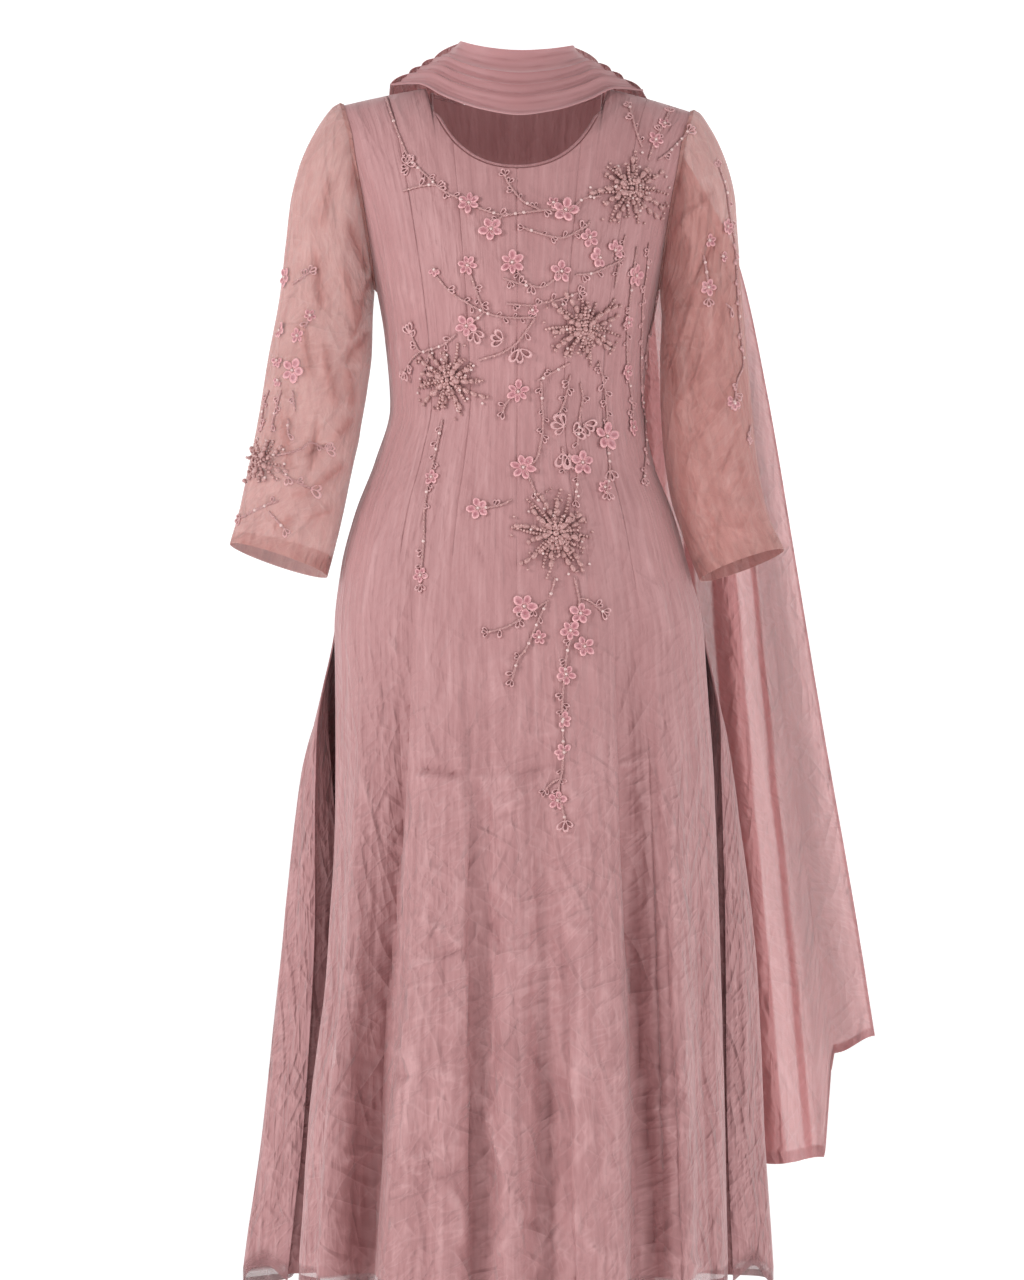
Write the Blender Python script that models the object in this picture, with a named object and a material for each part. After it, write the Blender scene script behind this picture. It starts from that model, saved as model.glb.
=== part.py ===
"""A salwar kameez suit, worn: a long kameez of six front gores, one back panel and two
sleeves, a dupatta across the front of the neck with both ends thrown behind, and a salwar.

Metres, +Z up. The front faces -Y and "left" means the -X side, as seen from the front.
The origin lies between the tops of the shoulders, which carry the suit. The cloth is a thin
wall on surfaces worked out from the section and fold tables below.
"""

import math

import bmesh
import bpy
from mathutils import Vector

# ---- driving dimensions ----

CLOTH = 0.0012            # thickness of each cloth wall
SEAM_GAP = 0.0007         # space left between two pieces along a seam
ARMHOLE_LAP = 0.0026      # a sleeve's top edge lies this far outside the armhole edge

SLIT_TOP = -0.555         # the side slits are open from here down to the hem
FRONT_HEM = -1.207
BACK_HEM = -1.228
SIDE_HEM_RISE = 0.026
HIP_LEVEL = -0.525        # rows are closer together from here up to the yoke
YOKE_LEVEL = -0.255       # rows run level up to here, then bend towards neck and armholes

NECK_SIDE = 0.308         # place of the neck point across a panel (0 centre, 1 side seam)
FRONT_NECK_DROP = 0.094
BACK_NECK_DROP = 0.018
SHOULDER_SIDE = 0.71      # place of the shoulder tip across a panel
LEFT_SHOULDER_DROP = 0.019    # how far the shoulder tips lie below the neck points
RIGHT_SHOULDER_DROP = 0.026
SHOULDER_START = 0.085    # X where the shoulder slope begins
SHOULDER_RUN = 0.095      # length of the slope in X
BINDING_RADIUS = 0.0013
BINDING_REACH = 0.0028    # from the cut neck edge to the middle of the binding
BINDING_SIDES = 6

ARMHOLE_STEPS = 9         # points from shoulder tip to underarm, on each panel
ARMHOLE_SAMPLES = 200     # finer points that measure the length of the armhole
SLEEVE_POINTS = 20        # points round a sleeve
SLEEVE_HEAD_RINGS = 3.2   # the rings take this many steps to turn from armhole to oval
SEAMS = (-0.46, -0.235, 0.0, 0.235, 0.46)   # gore seams across the front panel

FRONT_SKIRT_STEPS = 8     # rows of points in the walls: hem to hip,
FRONT_WAIST_STEPS = 9     # hip to yoke,
BACK_SKIRT_STEPS = 8
BACK_WAIST_STEPS = 5
YOKE_STEPS = 9            # and yoke to neckline
FRONT_STATIONS = (7, 9)   # points across half a panel: to the neck point, and along the
BACK_STATIONS = (5, 6)    # shoulder; the armhole steps follow
NECK_STEPS = 9            # rows of the dupatta from the middle of the neck to a shoulder
TAIL_DOWN = 13            # rows down each dupatta end, and points across it
RIGHT_TAIL_ACROSS = 24
LEFT_TAIL_ACROSS = 18
SALWAR_DOWN = 9           # rows down each leg

# Outline of the kameez. level: height; left, right: half widths of the front panel;
# back_left, back_right: those of the back panel, which is wider below the slits;
# front, back: depth of the panels' middles; wrap: how far the back panel's free edges
# turn forward past its sides, in degrees.
KAMEEZ_COLUMNS = ("level", "left", "right", "back_left", "back_right", "front", "back", "wrap")
KAMEEZ = (
    (0.000, 0.2000, 0.2000, 0.2000, 0.2000, 0.000, 0.000, 0.0),
    (-0.004, 0.1985, 0.1985, 0.1985, 0.1985, 0.018, 0.020, 0.0),
    (-0.014, 0.1945, 0.1945, 0.1945, 0.1945, 0.038, 0.040, 0.0),
    (-0.035, 0.1860, 0.1860, 0.1860, 0.1860, 0.062, 0.060, 0.0),
    (-0.070, 0.1760, 0.1760, 0.1760, 0.1760, 0.086, 0.079, 0.0),
    (-0.110, 0.1650, 0.1650, 0.1650, 0.1650, 0.106, 0.093, 0.0),
    (-0.155, 0.1540, 0.1540, 0.1540, 0.1540, 0.123, 0.101, 0.0),
    (-0.205, 0.1430, 0.1430, 0.1430, 0.1430, 0.129, 0.102, 0.0),
    (-0.255, 0.1345, 0.1345, 0.1345, 0.1345, 0.118, 0.096, 0.0),
    (-0.325, 0.1290, 0.1285, 0.1290, 0.1285, 0.103, 0.088, 0.0),
    (-0.380, 0.1440, 0.1380, 0.1440, 0.1380, 0.104, 0.094, 0.0),
    (-0.435, 0.1650, 0.1590, 0.1650, 0.1590, 0.112, 0.110, 0.0),
    (-0.490, 0.1790, 0.1745, 0.1790, 0.1745, 0.121, 0.126, 0.0),
    (-0.555, 0.1860, 0.1900, 0.1860, 0.1900, 0.127, 0.138, 0.0),
    (-0.615, 0.1845, 0.1930, 0.1990, 0.2040, 0.129, 0.145, 5.0),
    (-0.700, 0.1840, 0.1990, 0.2180, 0.2210, 0.132, 0.155, 20.0),
    (-0.900, 0.1930, 0.2060, 0.2350, 0.2410, 0.140, 0.172, 28.0),
    (-1.050, 0.2100, 0.2110, 0.2480, 0.2450, 0.146, 0.184, 29.0),
    (-1.210, 0.2200, 0.2140, 0.2700, 0.2540, 0.150, 0.194, 30.0),
)

# Soft vertical folds of the skirt, a row for each. waist, hem: place across the panel at the
# top and at the hem; begins: height where it fades in; depth: how far it stands out (a
# ridge) or lies back (a trough, negative) at the hem; width: half its width, across.
FOLD_COLUMNS = ("waist", "hem", "begins", "depth", "width")
FRONT_FOLDS = (
    (-0.80, -0.81, -0.56, -0.016, 0.080),
    (-0.66, -0.64, -0.50, 0.019, 0.070),
    (-0.40, -0.51, -0.40, -0.031, 0.085),
    (-0.28, -0.39, -0.46, 0.012, 0.080),
    (-0.15, -0.20, -0.50, 0.011, 0.080),
    (-0.10, -0.115, -0.50, -0.022, 0.050),
    (-0.01, -0.015, -0.52, 0.013, 0.065),
    (0.07, 0.085, -0.52, -0.018, 0.048),
    (0.20, 0.245, -0.42, 0.018, 0.120),
    (0.40, 0.405, -0.40, -0.034, 0.060),
    (0.52, 0.540, -0.46, 0.019, 0.080),
    (0.74, 0.700, -0.60, -0.012, 0.080),
)
BACK_FOLDS = (
    (-0.74, -0.78, -0.52, 0.020, 0.085),
    (-0.58, -0.60, -0.42, -0.030, 0.085),
    (-0.40, -0.42, -0.46, 0.018, 0.090),
    (-0.24, -0.23, -0.40, -0.028, 0.080),
    (-0.08, -0.05, -0.44, 0.020, 0.095),
    (0.12, 0.13, -0.42, -0.026, 0.080),
    (0.28, 0.31, -0.48, 0.017, 0.090),
    (0.46, 0.49, -0.42, -0.032, 0.085),
    (0.66, 0.68, -0.50, 0.022, 0.090),
)

# Thick bead bursts that stand proud of the front. across, level: centre; radius; height.
BURST_COLUMNS = ("across", "level", "radius", "height")
BURSTS = (
    (0.415, -0.118, 0.034, 0.0040),
    (0.315, -0.255, 0.036, 0.0042),
    (-0.350, -0.312, 0.036, 0.0040),
    (0.160, -0.466, 0.036, 0.0042),
)

# Sleeves, a row for each ring from the shoulder to the cuff. outer_x, outer_z: its outermost
# point; inner_x, inner_z: its point nearest the body; depth: half its size along Y;
# centre_y: its middle; lean: how much lower its back is than its front.
SLEEVE_COLUMNS = ("outer_x", "outer_z", "inner_x", "inner_z", "depth", "centre_y", "lean")
LEFT_SLEEVE = (
    (0.2110, -0.032, 0.1450, -0.2110, 0.066, 0.002, 0.000),
    (0.2220, -0.066, 0.1460, -0.2190, 0.062, 0.002, 0.000),
    (0.2290, -0.110, 0.1470, -0.2310, 0.058, 0.000, 0.000),
    (0.2355, -0.165, 0.1475, -0.2480, 0.055, -0.002, 0.000),
    (0.2425, -0.222, 0.1480, -0.2720, 0.053, -0.004, 0.000),
    (0.2535, -0.281, 0.1525, -0.3080, 0.052, -0.006, 0.000),
    (0.2625, -0.338, 0.1610, -0.3570, 0.051, -0.009, 0.002),
    (0.2735, -0.393, 0.1700, -0.4060, 0.049, -0.012, 0.005),
    (0.2840, -0.438, 0.1805, -0.4530, 0.046, -0.015, 0.009),
    (0.2916, -0.466, 0.1925, -0.4985, 0.043, -0.018, 0.013),
)
RIGHT_SLEEVE = (
    (0.2080, -0.038, 0.1460, -0.2110, 0.066, 0.002, 0.000),
    (0.2165, -0.072, 0.1470, -0.2190, 0.061, 0.002, 0.000),
    (0.2215, -0.112, 0.1480, -0.2310, 0.057, 0.000, 0.000),
    (0.2250, -0.165, 0.1475, -0.2480, 0.054, -0.002, 0.000),
    (0.2300, -0.222, 0.1460, -0.2750, 0.052, -0.004, 0.000),
    (0.2350, -0.281, 0.1460, -0.3120, 0.050, -0.006, 0.000),
    (0.2400, -0.336, 0.1480, -0.3580, 0.048, -0.009, 0.002),
    (0.2450, -0.388, 0.1545, -0.4100, 0.047, -0.012, 0.005),
    (0.2560, -0.437, 0.1670, -0.4560, 0.045, -0.017, 0.009),
    (0.2710, -0.472, 0.1850, -0.5020, 0.042, -0.022, 0.013),
)

# Dupatta across the neck, from the middle of the front (station 0) to the top of a shoulder
# (station 1): its upper edge beside the neck and its lower edge.
SCARF_COLUMNS = ("station", "upper_x", "upper_y", "upper_z", "lower_x", "lower_y", "lower_z")
SCARF = (
    (0.00, 0.000, -0.066, 0.0290, 0.000, -0.108, -0.0375),
    (0.25, 0.027, -0.062, 0.0320, 0.036, -0.096, -0.0310),
    (0.50, 0.047, -0.047, 0.0380, 0.072, -0.068, -0.0180),
    (0.75, 0.057, -0.024, 0.0440, 0.101, -0.034, 0.0000),
    (1.00, 0.059, 0.004, 0.0460, 0.129, 0.004, 0.0040),
)
PLEAT_EDGES = (0.0, 0.36, 0.55, 0.73, 1.0)   # where the neck pleats meet, across the width
PLEAT_HEIGHT = 0.0055

# Dupatta ends behind the shoulders, a row for each station from the shoulder to the hem:
# the edge nearer the middle of the back, the outer edge, and how far its folds are open.
TAIL_COLUMNS = ("station", "inner_x", "inner_y", "inner_z", "outer_x", "outer_y", "outer_z", "open")
RIGHT_TAIL = (
    (0.00, 0.058, 0.0050, 0.042, 0.127, 0.0050, -0.002, 0.0),
    (0.04, 0.061, 0.045, 0.031, 0.139, 0.050, -0.014, 0.05),
    (0.08, 0.062, 0.084, 0.004, 0.161, 0.088, -0.042, 0.15),
    (0.14, 0.060, 0.118, -0.054, 0.195, 0.116, -0.090, 0.25),
    (0.22, 0.054, 0.136, -0.150, 0.231, 0.132, -0.160, 0.4),
    (0.34, 0.048, 0.146, -0.290, 0.262, 0.138, -0.295, 0.5),
    (0.50, 0.044, 0.176, -0.480, 0.293, 0.146, -0.470, 0.65),
    (0.66, 0.040, 0.212, -0.680, 0.323, 0.156, -0.650, 0.8),
    (0.84, 0.036, 0.232, -0.900, 0.355, 0.164, -0.830, 0.92),
    (1.00, 0.034, 0.244, -1.130, 0.380, 0.170, -0.983, 1.0),
)
LEFT_TAIL = (
    (0.00, 0.059, 0.0050, 0.046, 0.129, 0.0050, 0.004, 0.0),
    (0.04, 0.060, 0.045, 0.034, 0.132, 0.050, -0.010, 0.05),
    (0.08, 0.057, 0.084, 0.006, 0.134, 0.088, -0.038, 0.2),
    (0.14, 0.050, 0.118, -0.052, 0.131, 0.118, -0.088, 0.4),
    (0.22, 0.040, 0.136, -0.150, 0.126, 0.134, -0.160, 0.6),
    (0.34, 0.030, 0.146, -0.290, 0.121, 0.144, -0.292, 0.75),
    (0.50, 0.024, 0.178, -0.470, 0.130, 0.170, -0.470, 0.85),
    (0.66, 0.018, 0.216, -0.650, 0.150, 0.202, -0.648, 0.9),
    (0.84, 0.014, 0.238, -0.855, 0.174, 0.218, -0.838, 1.0),
    (1.00, 0.010, 0.250, -1.035, 0.192, 0.228, -1.000, 1.0),
)
# Folds of the ends. across: place over the width; depth: backwards (ridge) or forwards.
TAIL_FOLD_COLUMNS = ("across", "depth", "width")
RIGHT_TAIL_FOLDS = (
    (0.06, 0.018, 0.045),
    (0.17, -0.024, 0.050),
    (0.29, 0.026, 0.055),
    (0.42, -0.024, 0.055),
    (0.55, 0.024, 0.055),
    (0.70, -0.026, 0.055),
    (0.84, 0.026, 0.045),
    (0.96, -0.012, 0.050),
)
LEFT_TAIL_FOLDS = (
    (0.08, 0.014, 0.070),
    (0.25, -0.014, 0.070),
    (0.42, 0.015, 0.075),
    (0.59, -0.013, 0.070),
    (0.76, 0.014, 0.075),
    (0.92, -0.010, 0.070),
)
RIGHT_TAIL_STEP = 0.867    # across the width, where the hem steps up to the outer layer
STEP_HALF_WIDTH = 0.014
STEP_SHARES = (0.10, 0.76, 0.14)   # of the hem's rise: up to the step, at it and beyond it
NECK_TILT = 0.006          # how much lower the neck stretch lies on the right shoulder
SHOULDER_PLEATS = 0.5      # height of the pleats on the shoulders, as a part of the front's

# Salwar. level; half: outermost X; front, back: depths; closed: how far the rise seams have
# closed in from the front and back (0) to the inseam (1); inner: X of the inseam.
SALWAR_COLUMNS = ("level", "half", "front", "back", "closed", "inner")
SALWAR = (
    (-0.402, 0.124, 0.088, 0.080, 0.00, 0.0006),
    (-0.470, 0.148, 0.098, 0.102, 0.03, 0.0006),
    (-0.550, 0.158, 0.103, 0.115, 0.12, 0.0006),
    (-0.620, 0.163, 0.100, 0.112, 0.42, 0.0006),
    (-0.665, 0.165, 0.096, 0.106, 1.00, 0.0010),
    (-0.740, 0.165, 0.090, 0.098, 1.00, 0.0080),
    (-0.880, 0.160, 0.082, 0.088, 1.00, 0.0120),
    (-1.050, 0.150, 0.074, 0.078, 1.00, 0.0140),
    (-1.220, 0.141, 0.068, 0.070, 1.00, 0.0150),
    (-1.385, 0.137, 0.064, 0.064, 1.00, 0.0150),
)
SALWAR_POINTS = 16         # points round one leg
WAISTBAND_TOP = -0.362
WAISTBAND_HALF = (0.121, 0.086, 0.078)       # half width, front and back depths
WAISTBAND_POINTS = 26

ROSE = (0.52, 0.27, 0.29)
ROSE_SHEER = (0.56, 0.32, 0.34)
ROSE_DARK = (0.27, 0.12, 0.14)


# ---- reading the tables ----

def slopes(levels, values):
    """Slopes for a curve through the values that never swings past them."""
    steps = [(values[i + 1] - values[i]) / (levels[i + 1] - levels[i])
             for i in range(len(levels) - 1)]
    inner = [0.0 if a * b <= 0 else 2 * a * b / (a + b) for a, b in zip(steps, steps[1:])]
    return [steps[0]] + inner + [steps[-1]]


def curve(columns, rows, name):
    """The named column as a smooth function of the first column."""
    order = sorted(rows, key=lambda row: row[0])
    levels = [row[0] for row in order]
    values = [row[columns.index(name)] for row in order]
    tangents = slopes(levels, values)

    def value_at(level):
        level = min(max(level, levels[0]), levels[-1])
        i = max(j for j in range(len(levels) - 1) if levels[j] <= level)
        span = levels[i + 1] - levels[i]
        t = (level - levels[i]) / span
        return (values[i] * (1 + 2 * t) * (1 - t) ** 2
                + values[i + 1] * t * t * (3 - 2 * t)
                + tangents[i] * span * t * (1 - t) ** 2
                - tangents[i + 1] * span * t * t * (1 - t))

    return value_at


def curves(columns, rows):
    """One function for each column of a table."""
    return {name: curve(columns, rows, name) for name in columns[1:]}


def records(columns, rows):
    """The rows of a table as dictionaries."""
    return [dict(zip(columns, row)) for row in rows]


def ease(t):
    """Smooth step from 0 to 1."""
    t = min(max(t, 0.0), 1.0)
    return t * t * (3 - 2 * t)


def slit_opening(level):
    """How far the side slits stand open: 0 down to their tops, then growing to 1."""
    return math.sin(math.pi / 2 * min(max((SLIT_TOP - level) / 0.5, 0.0), 1.0))


def bell(distance, width):
    """A rounded hump, 1 in its middle and 0 beyond twice its half width."""
    t = abs(distance) / (2 * width)
    return 0.0 if t >= 1 else (0.5 + 0.5 * math.cos(math.pi * t)) ** 1.2


# ---- cloth walls ----

def surface_normals(rows, ring=False):
    """A unit normal for each point of a grid of surface points."""
    last = len(rows) - 1
    count = len(rows[0])
    normals = []
    for i, row in enumerate(rows):
        below, above = rows[max(i - 1, 0)], rows[min(i + 1, last)]
        line = []
        for j in range(count):
            before = (j - 1) % count if ring else max(j - 1, 0)
            after = (j + 1) % count if ring else min(j + 1, count - 1)
            along = row[after] - row[before]
            up = above[j] - below[j]
            line.append(along.cross(up).normalized())
        normals.append(line)
    return normals


def cloth_wall(name, rows, normals, colour, ring=False, lift=None):
    """A closed wall of cloth on a grid of points; lift raises its outer side in places."""
    count = len(rows[0])
    spans = count if ring else count - 1
    mesh = bmesh.new()
    outer, inner = [], []
    for i, row in enumerate(rows):
        raised = [CLOTH / 2 + (lift[i][j] if lift else 0.0) for j in range(count)]
        outer.append([mesh.verts.new(p + n * r) for p, n, r in zip(row, normals[i], raised)])
        inner.append([mesh.verts.new(p - n * (CLOTH / 2)) for p, n in zip(row, normals[i])])
    for i in range(len(rows) - 1):
        for j in range(spans):
            k = (j + 1) % count
            mesh.faces.new((outer[i][j], outer[i][k], outer[i + 1][k], outer[i + 1][j]))
            mesh.faces.new((inner[i][j], inner[i + 1][j], inner[i + 1][k], inner[i][k]))
    for i, flip in ((0, False), (len(rows) - 1, True)):
        for j in range(spans):
            k = (j + 1) % count
            rim = (outer[i][j], inner[i][j], inner[i][k], outer[i][k])
            mesh.faces.new(rim[::-1] if flip else rim)
    if not ring:
        for j, flip in ((0, True), (count - 1, False)):
            for i in range(len(rows) - 1):
                rim = (outer[i][j], inner[i][j], inner[i + 1][j], outer[i + 1][j])
                mesh.faces.new(rim[::-1] if flip else rim)
    bmesh.ops.recalc_face_normals(mesh, faces=mesh.faces)
    return add_object(name, mesh, colour)


def add_object(name, mesh, colour):
    """Link a finished mesh under its own name, with its own cloth material."""
    data = bpy.data.meshes.new(name)
    mesh.to_mesh(data)
    mesh.free()
    data.shade_smooth()
    data.set_sharp_from_angle(angle=math.radians(50))
    material = bpy.data.materials.new(name)
    material.use_nodes = True
    shader = material.node_tree.nodes["Principled BSDF"]
    shader.inputs["Base Color"].default_value = (*colour, 1.0)
    shader.inputs["Roughness"].default_value = 0.7
    shader.inputs["Metallic"].default_value = 0.0
    material.diffuse_color = (*colour, 1.0)
    data.materials.append(material)
    piece = bpy.data.objects.new(name, data)
    bpy.context.collection.objects.link(piece)
    return piece


def pull_in(point, neighbour, distance):
    """The point moved towards its neighbour."""
    return point + (neighbour - point).normalized() * distance


# ---- kameez panels ----

SHAPE = curves(KAMEEZ_COLUMNS, KAMEEZ)


def shoulder_fall(x, level):
    """How far the shoulder slope lowers a point; it fades out down the chest."""
    drop = LEFT_SHOULDER_DROP if x < 0 else RIGHT_SHOULDER_DROP
    slope = (max(abs(x) - SHOULDER_START, 0.0) / SHOULDER_RUN) ** 1.2
    return drop * slope * ease(1 + level / 0.17)


def fold_offset(folds, across, level, hem):
    """How far the folds move a point outwards."""
    total = 0.0
    for fold in folds:
        down = (fold["begins"] - level) / (fold["begins"] - hem)
        if down > 0:
            place = fold["waist"] + (fold["hem"] - fold["waist"]) * min(down, 1.0)
            strength = ease(min(down, 1.0)) ** 0.8
            total += fold["depth"] * strength * bell(across - place, fold["width"])
    return total


def front_point(across, level):
    """A point of the front panel; across runs from -1 to 1, side seam to side seam."""
    half = SHAPE["left"](level) if across < 0 else SHAPE["right"](level)
    angle = across * math.pi / 2
    square = 1.0 - 0.32 * ease((-0.35 - level) / 0.7) - 0.30 * ease(1 + level / 0.20)
    opened = slit_opening(level)
    x = half * math.sin(angle)
    y = -SHAPE["front"](level) * max(math.cos(angle), 0.0) ** square - 0.030 * opened
    out = fold_offset(FRONT_FOLD_ROWS, across, level, FRONT_HEM)
    x += out * math.sin(angle) * 0.6
    y -= out * (0.35 + 0.65 * math.cos(angle))
    return Vector((x, y, level - shoulder_fall(x, level)))


def back_point(across, level):
    """A point of the back panel, whose free edges wrap forward below the slits."""
    half = SHAPE["back_left"](level) if across < 0 else SHAPE["back_right"](level)
    angle = across * (math.pi / 2 + math.radians(SHAPE["wrap"](level)))
    square = 1.0 - 0.25 * ease((-0.35 - level) / 0.7) - 0.30 * ease(1 + level / 0.20)
    opened = slit_opening(level)
    x = half * math.sin(angle)
    turn = math.cos(angle)
    y = SHAPE["back"](level) * turn ** square if turn > 0 else 0.050 * turn
    y += 0.022 * opened
    out = fold_offset(BACK_FOLD_ROWS, across, level, FRONT_HEM)
    x += out * math.sin(angle) * 0.6
    y += out * (0.35 + 0.65 * max(turn, 0.0))
    return Vector((x, y, level - shoulder_fall(x, level)))


def armhole_level(across):
    """Height of the armhole edge, from the shoulder tip down to the underarm."""
    t = (abs(across) - SHOULDER_SIDE) / (1 - SHOULDER_SIDE)
    return -0.205 * math.sin(math.pi / 2 * min(max(t, 0.0), 1.0)) ** 0.85


def top_level(across, neck_drop):
    """Height of a panel's upper edge: neckline, shoulder seam or armhole."""
    if abs(across) < NECK_SIDE:
        return -neck_drop * (1 - (abs(across) / NECK_SIDE) ** 2.2) ** (1 / 2.2)
    if abs(across) <= SHOULDER_SIDE:
        return 0.0
    return armhole_level(across)


def across_stations(centre_steps, shoulder_steps, side_steps):
    """Places across a panel, closest where the neckline is steep; they include the seams."""
    neck = [NECK_SIDE * math.sin(math.pi / 2 * i / centre_steps) for i in range(centre_steps)]
    shoulder = [NECK_SIDE + (SHOULDER_SIDE - NECK_SIDE) * i / shoulder_steps
                for i in range(shoulder_steps)]
    side = [SHOULDER_SIDE + (1 - SHOULDER_SIDE) * (i / side_steps) ** 1.5
            for i in range(side_steps + 1)]
    half = neck + shoulder + side
    for seam in SEAMS:
        if seam > 0:
            nearest = min(range(len(half)), key=lambda i: abs(half[i] - seam))
            half[nearest] = seam
    return [-a for a in reversed(half[1:])] + half


def hem_level(across, panel):
    """Height of the hem; the back panel's rises where it turns forward at the sides."""
    if panel == "front":
        return FRONT_HEM
    return BACK_HEM + SIDE_HEM_RISE * bell(abs(across) - 0.9, 0.1)


def panel_rows(stations, panel, skirt_steps, waist_steps, yoke_steps):
    """A panel's grid of points from the hem up to its neckline, shoulders and armholes."""
    point = front_point if panel == "front" else back_point
    neck_drop = FRONT_NECK_DROP if panel == "front" else BACK_NECK_DROP
    rows = []
    for i in range(skirt_steps):
        t = i / skirt_steps
        rows.append([point(a, hem_level(a, panel) * (1 - t) + HIP_LEVEL * t) for a in stations])
    for i in range(waist_steps):
        t = i / waist_steps
        rows.append([point(a, HIP_LEVEL * (1 - t) + YOKE_LEVEL * t) for a in stations])
    for i in range(yoke_steps + 1):
        t = 1 - (1 - i / yoke_steps) ** 1.7
        rows.append([point(a, YOKE_LEVEL * (1 - t) + top_level(a, neck_drop) * t)
                     for a in stations])
    return rows


def trim_panel(rows, stations):
    """Draw the side seams, shoulder seams and neckline back to leave their gaps."""
    top, below = rows[-1], rows[-2]
    for j, across in enumerate(stations):
        if NECK_SIDE <= abs(across) <= SHOULDER_SIDE:
            top[j] = pull_in(top[j], below[j], SEAM_GAP)
    for row in rows:
        row[0] = pull_in(row[0], row[1], SEAM_GAP / 2)
        row[-1] = pull_in(row[-1], row[-2], SEAM_GAP / 2)


def burst_lift(rows, stations):
    """How far the bead bursts raise the outer side of the front."""
    centres = [(front_point(b["across"], b["level"]), b) for b in BURST_ROWS]
    lift = []
    for row in rows:
        lift.append([sum(b["height"] * bell((p - c).length, b["radius"] / 1.6)
                         for c, b in centres) for p in row])
    return lift


def build_front(stations):
    """The six front gores, each from seam to seam of one shared surface."""
    rows = panel_rows(stations, "front", FRONT_SKIRT_STEPS, FRONT_WAIST_STEPS, YOKE_STEPS)
    normals = surface_normals(rows)
    trim_panel(rows, stations)
    lift = burst_lift(rows, stations)
    cuts = [0] + [stations.index(seam) for seam in SEAMS] + [len(stations) - 1]
    for number, (start, end) in enumerate(zip(cuts, cuts[1:]), 1):
        gore = [row[start:end + 1] for row in rows]
        for line in gore:
            if start > 0:
                line[0] = pull_in(line[0], line[1], SEAM_GAP / 2)
            if end < len(stations) - 1:
                line[-1] = pull_in(line[-1], line[-2], SEAM_GAP / 2)
        cloth_wall(f"front_gore_{number}", gore, [n[start:end + 1] for n in normals], ROSE,
                   lift=[line[start:end + 1] for line in lift])
    return rows, normals


def build_back(stations):
    """The back panel, in one piece."""
    rows = panel_rows(stations, "back", BACK_SKIRT_STEPS, BACK_WAIST_STEPS, YOKE_STEPS)
    normals = [[-n for n in line] for line in surface_normals(rows)]
    trim_panel(rows, stations)
    cloth_wall("kameez_back", rows, normals, ROSE)
    return rows, normals


def edge_away(edge, normals, below):
    """For each point of an edge, the direction in the cloth that leads away from the panel."""
    away = []
    for j, point in enumerate(edge):
        run = edge[min(j + 1, len(edge) - 1)] - edge[max(j - 1, 0)]
        side = run.cross(normals[j]).normalized()
        away.append(side if side.dot(point - below[j]) > 0 else -side)
    return away


# ---- sleeves ----

def facing(point, across, level):
    """The direction that a panel's surface faces at one of its points."""
    step = 0.004
    along = point(across + step, level) - point(across - step, level)
    up = point(across, level) - point(across, level - step)
    normal = along.cross(up).normalized()
    return normal if point is front_point else -normal


def armhole_edge(point, sign):
    """Points just outside a panel's armhole, closest together at the shoulder tip."""
    samples = []
    for i in range(ARMHOLE_SAMPLES + 1):
        across = SHOULDER_SIDE + (1 - SHOULDER_SIDE) * (i / ARMHOLE_SAMPLES) ** 2
        samples.append((sign * across, armhole_level(across)))
    places = [point(a, level) for a, level in samples]
    lengths = [0.0]
    for first, second in zip(places, places[1:]):
        lengths.append(lengths[-1] + (second - first).length)
    edge = []
    for j in range(SLEEVE_POINTS // 2 + 1):
        goal = lengths[-1] * (j / (SLEEVE_POINTS // 2)) ** 1.4
        i = min(range(len(lengths)), key=lambda k: abs(lengths[k] - goal))
        edge.append(places[i] + facing(point, *samples[i]) * ARMHOLE_LAP)
    return edge


def armhole_loop(sign):
    """The sleeve's top edge: down the front from the shoulder, and up the back."""
    front_edge, back_edge = armhole_edge(front_point, sign), armhole_edge(back_point, sign)
    tip = (front_edge[0] + back_edge[0]) / 2
    tip.z += ARMHOLE_LAP / 2
    underarm = (front_edge[-1] + back_edge[-1]) / 2
    return [tip] + front_edge[1:-1] + [underarm] + back_edge[-2:0:-1]


def build_sleeve(name, table, sign):
    """A sleeve: rings that start on the armhole and turn into the table's ovals."""
    loop = armhole_loop(sign)
    count = len(loop)
    rows = [loop]
    for i, ring in enumerate(records(SLEEVE_COLUMNS, table)):
        outer = Vector((sign * ring["outer_x"], ring["centre_y"], ring["outer_z"]))
        inner = Vector((sign * ring["inner_x"], ring["centre_y"], ring["inner_z"]))
        middle, half = (outer + inner) / 2, (inner - outer) / 2
        blend = ease((i + 1) / SLEEVE_HEAD_RINGS)
        line = []
        for j in range(count):
            turn = 2 * math.pi * j / count
            across = Vector((0, -ring["depth"], ring["lean"] / 2)) * math.sin(turn)
            oval = middle - half * math.cos(turn) + across
            line.append(loop[j].lerp(oval, blend))
        rows.append(line)
    normals = [[n * sign for n in line] for line in surface_normals(rows, ring=True)]
    cloth_wall(name, rows, normals, ROSE_SHEER, ring=True)


# ---- neck binding ----

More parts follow.
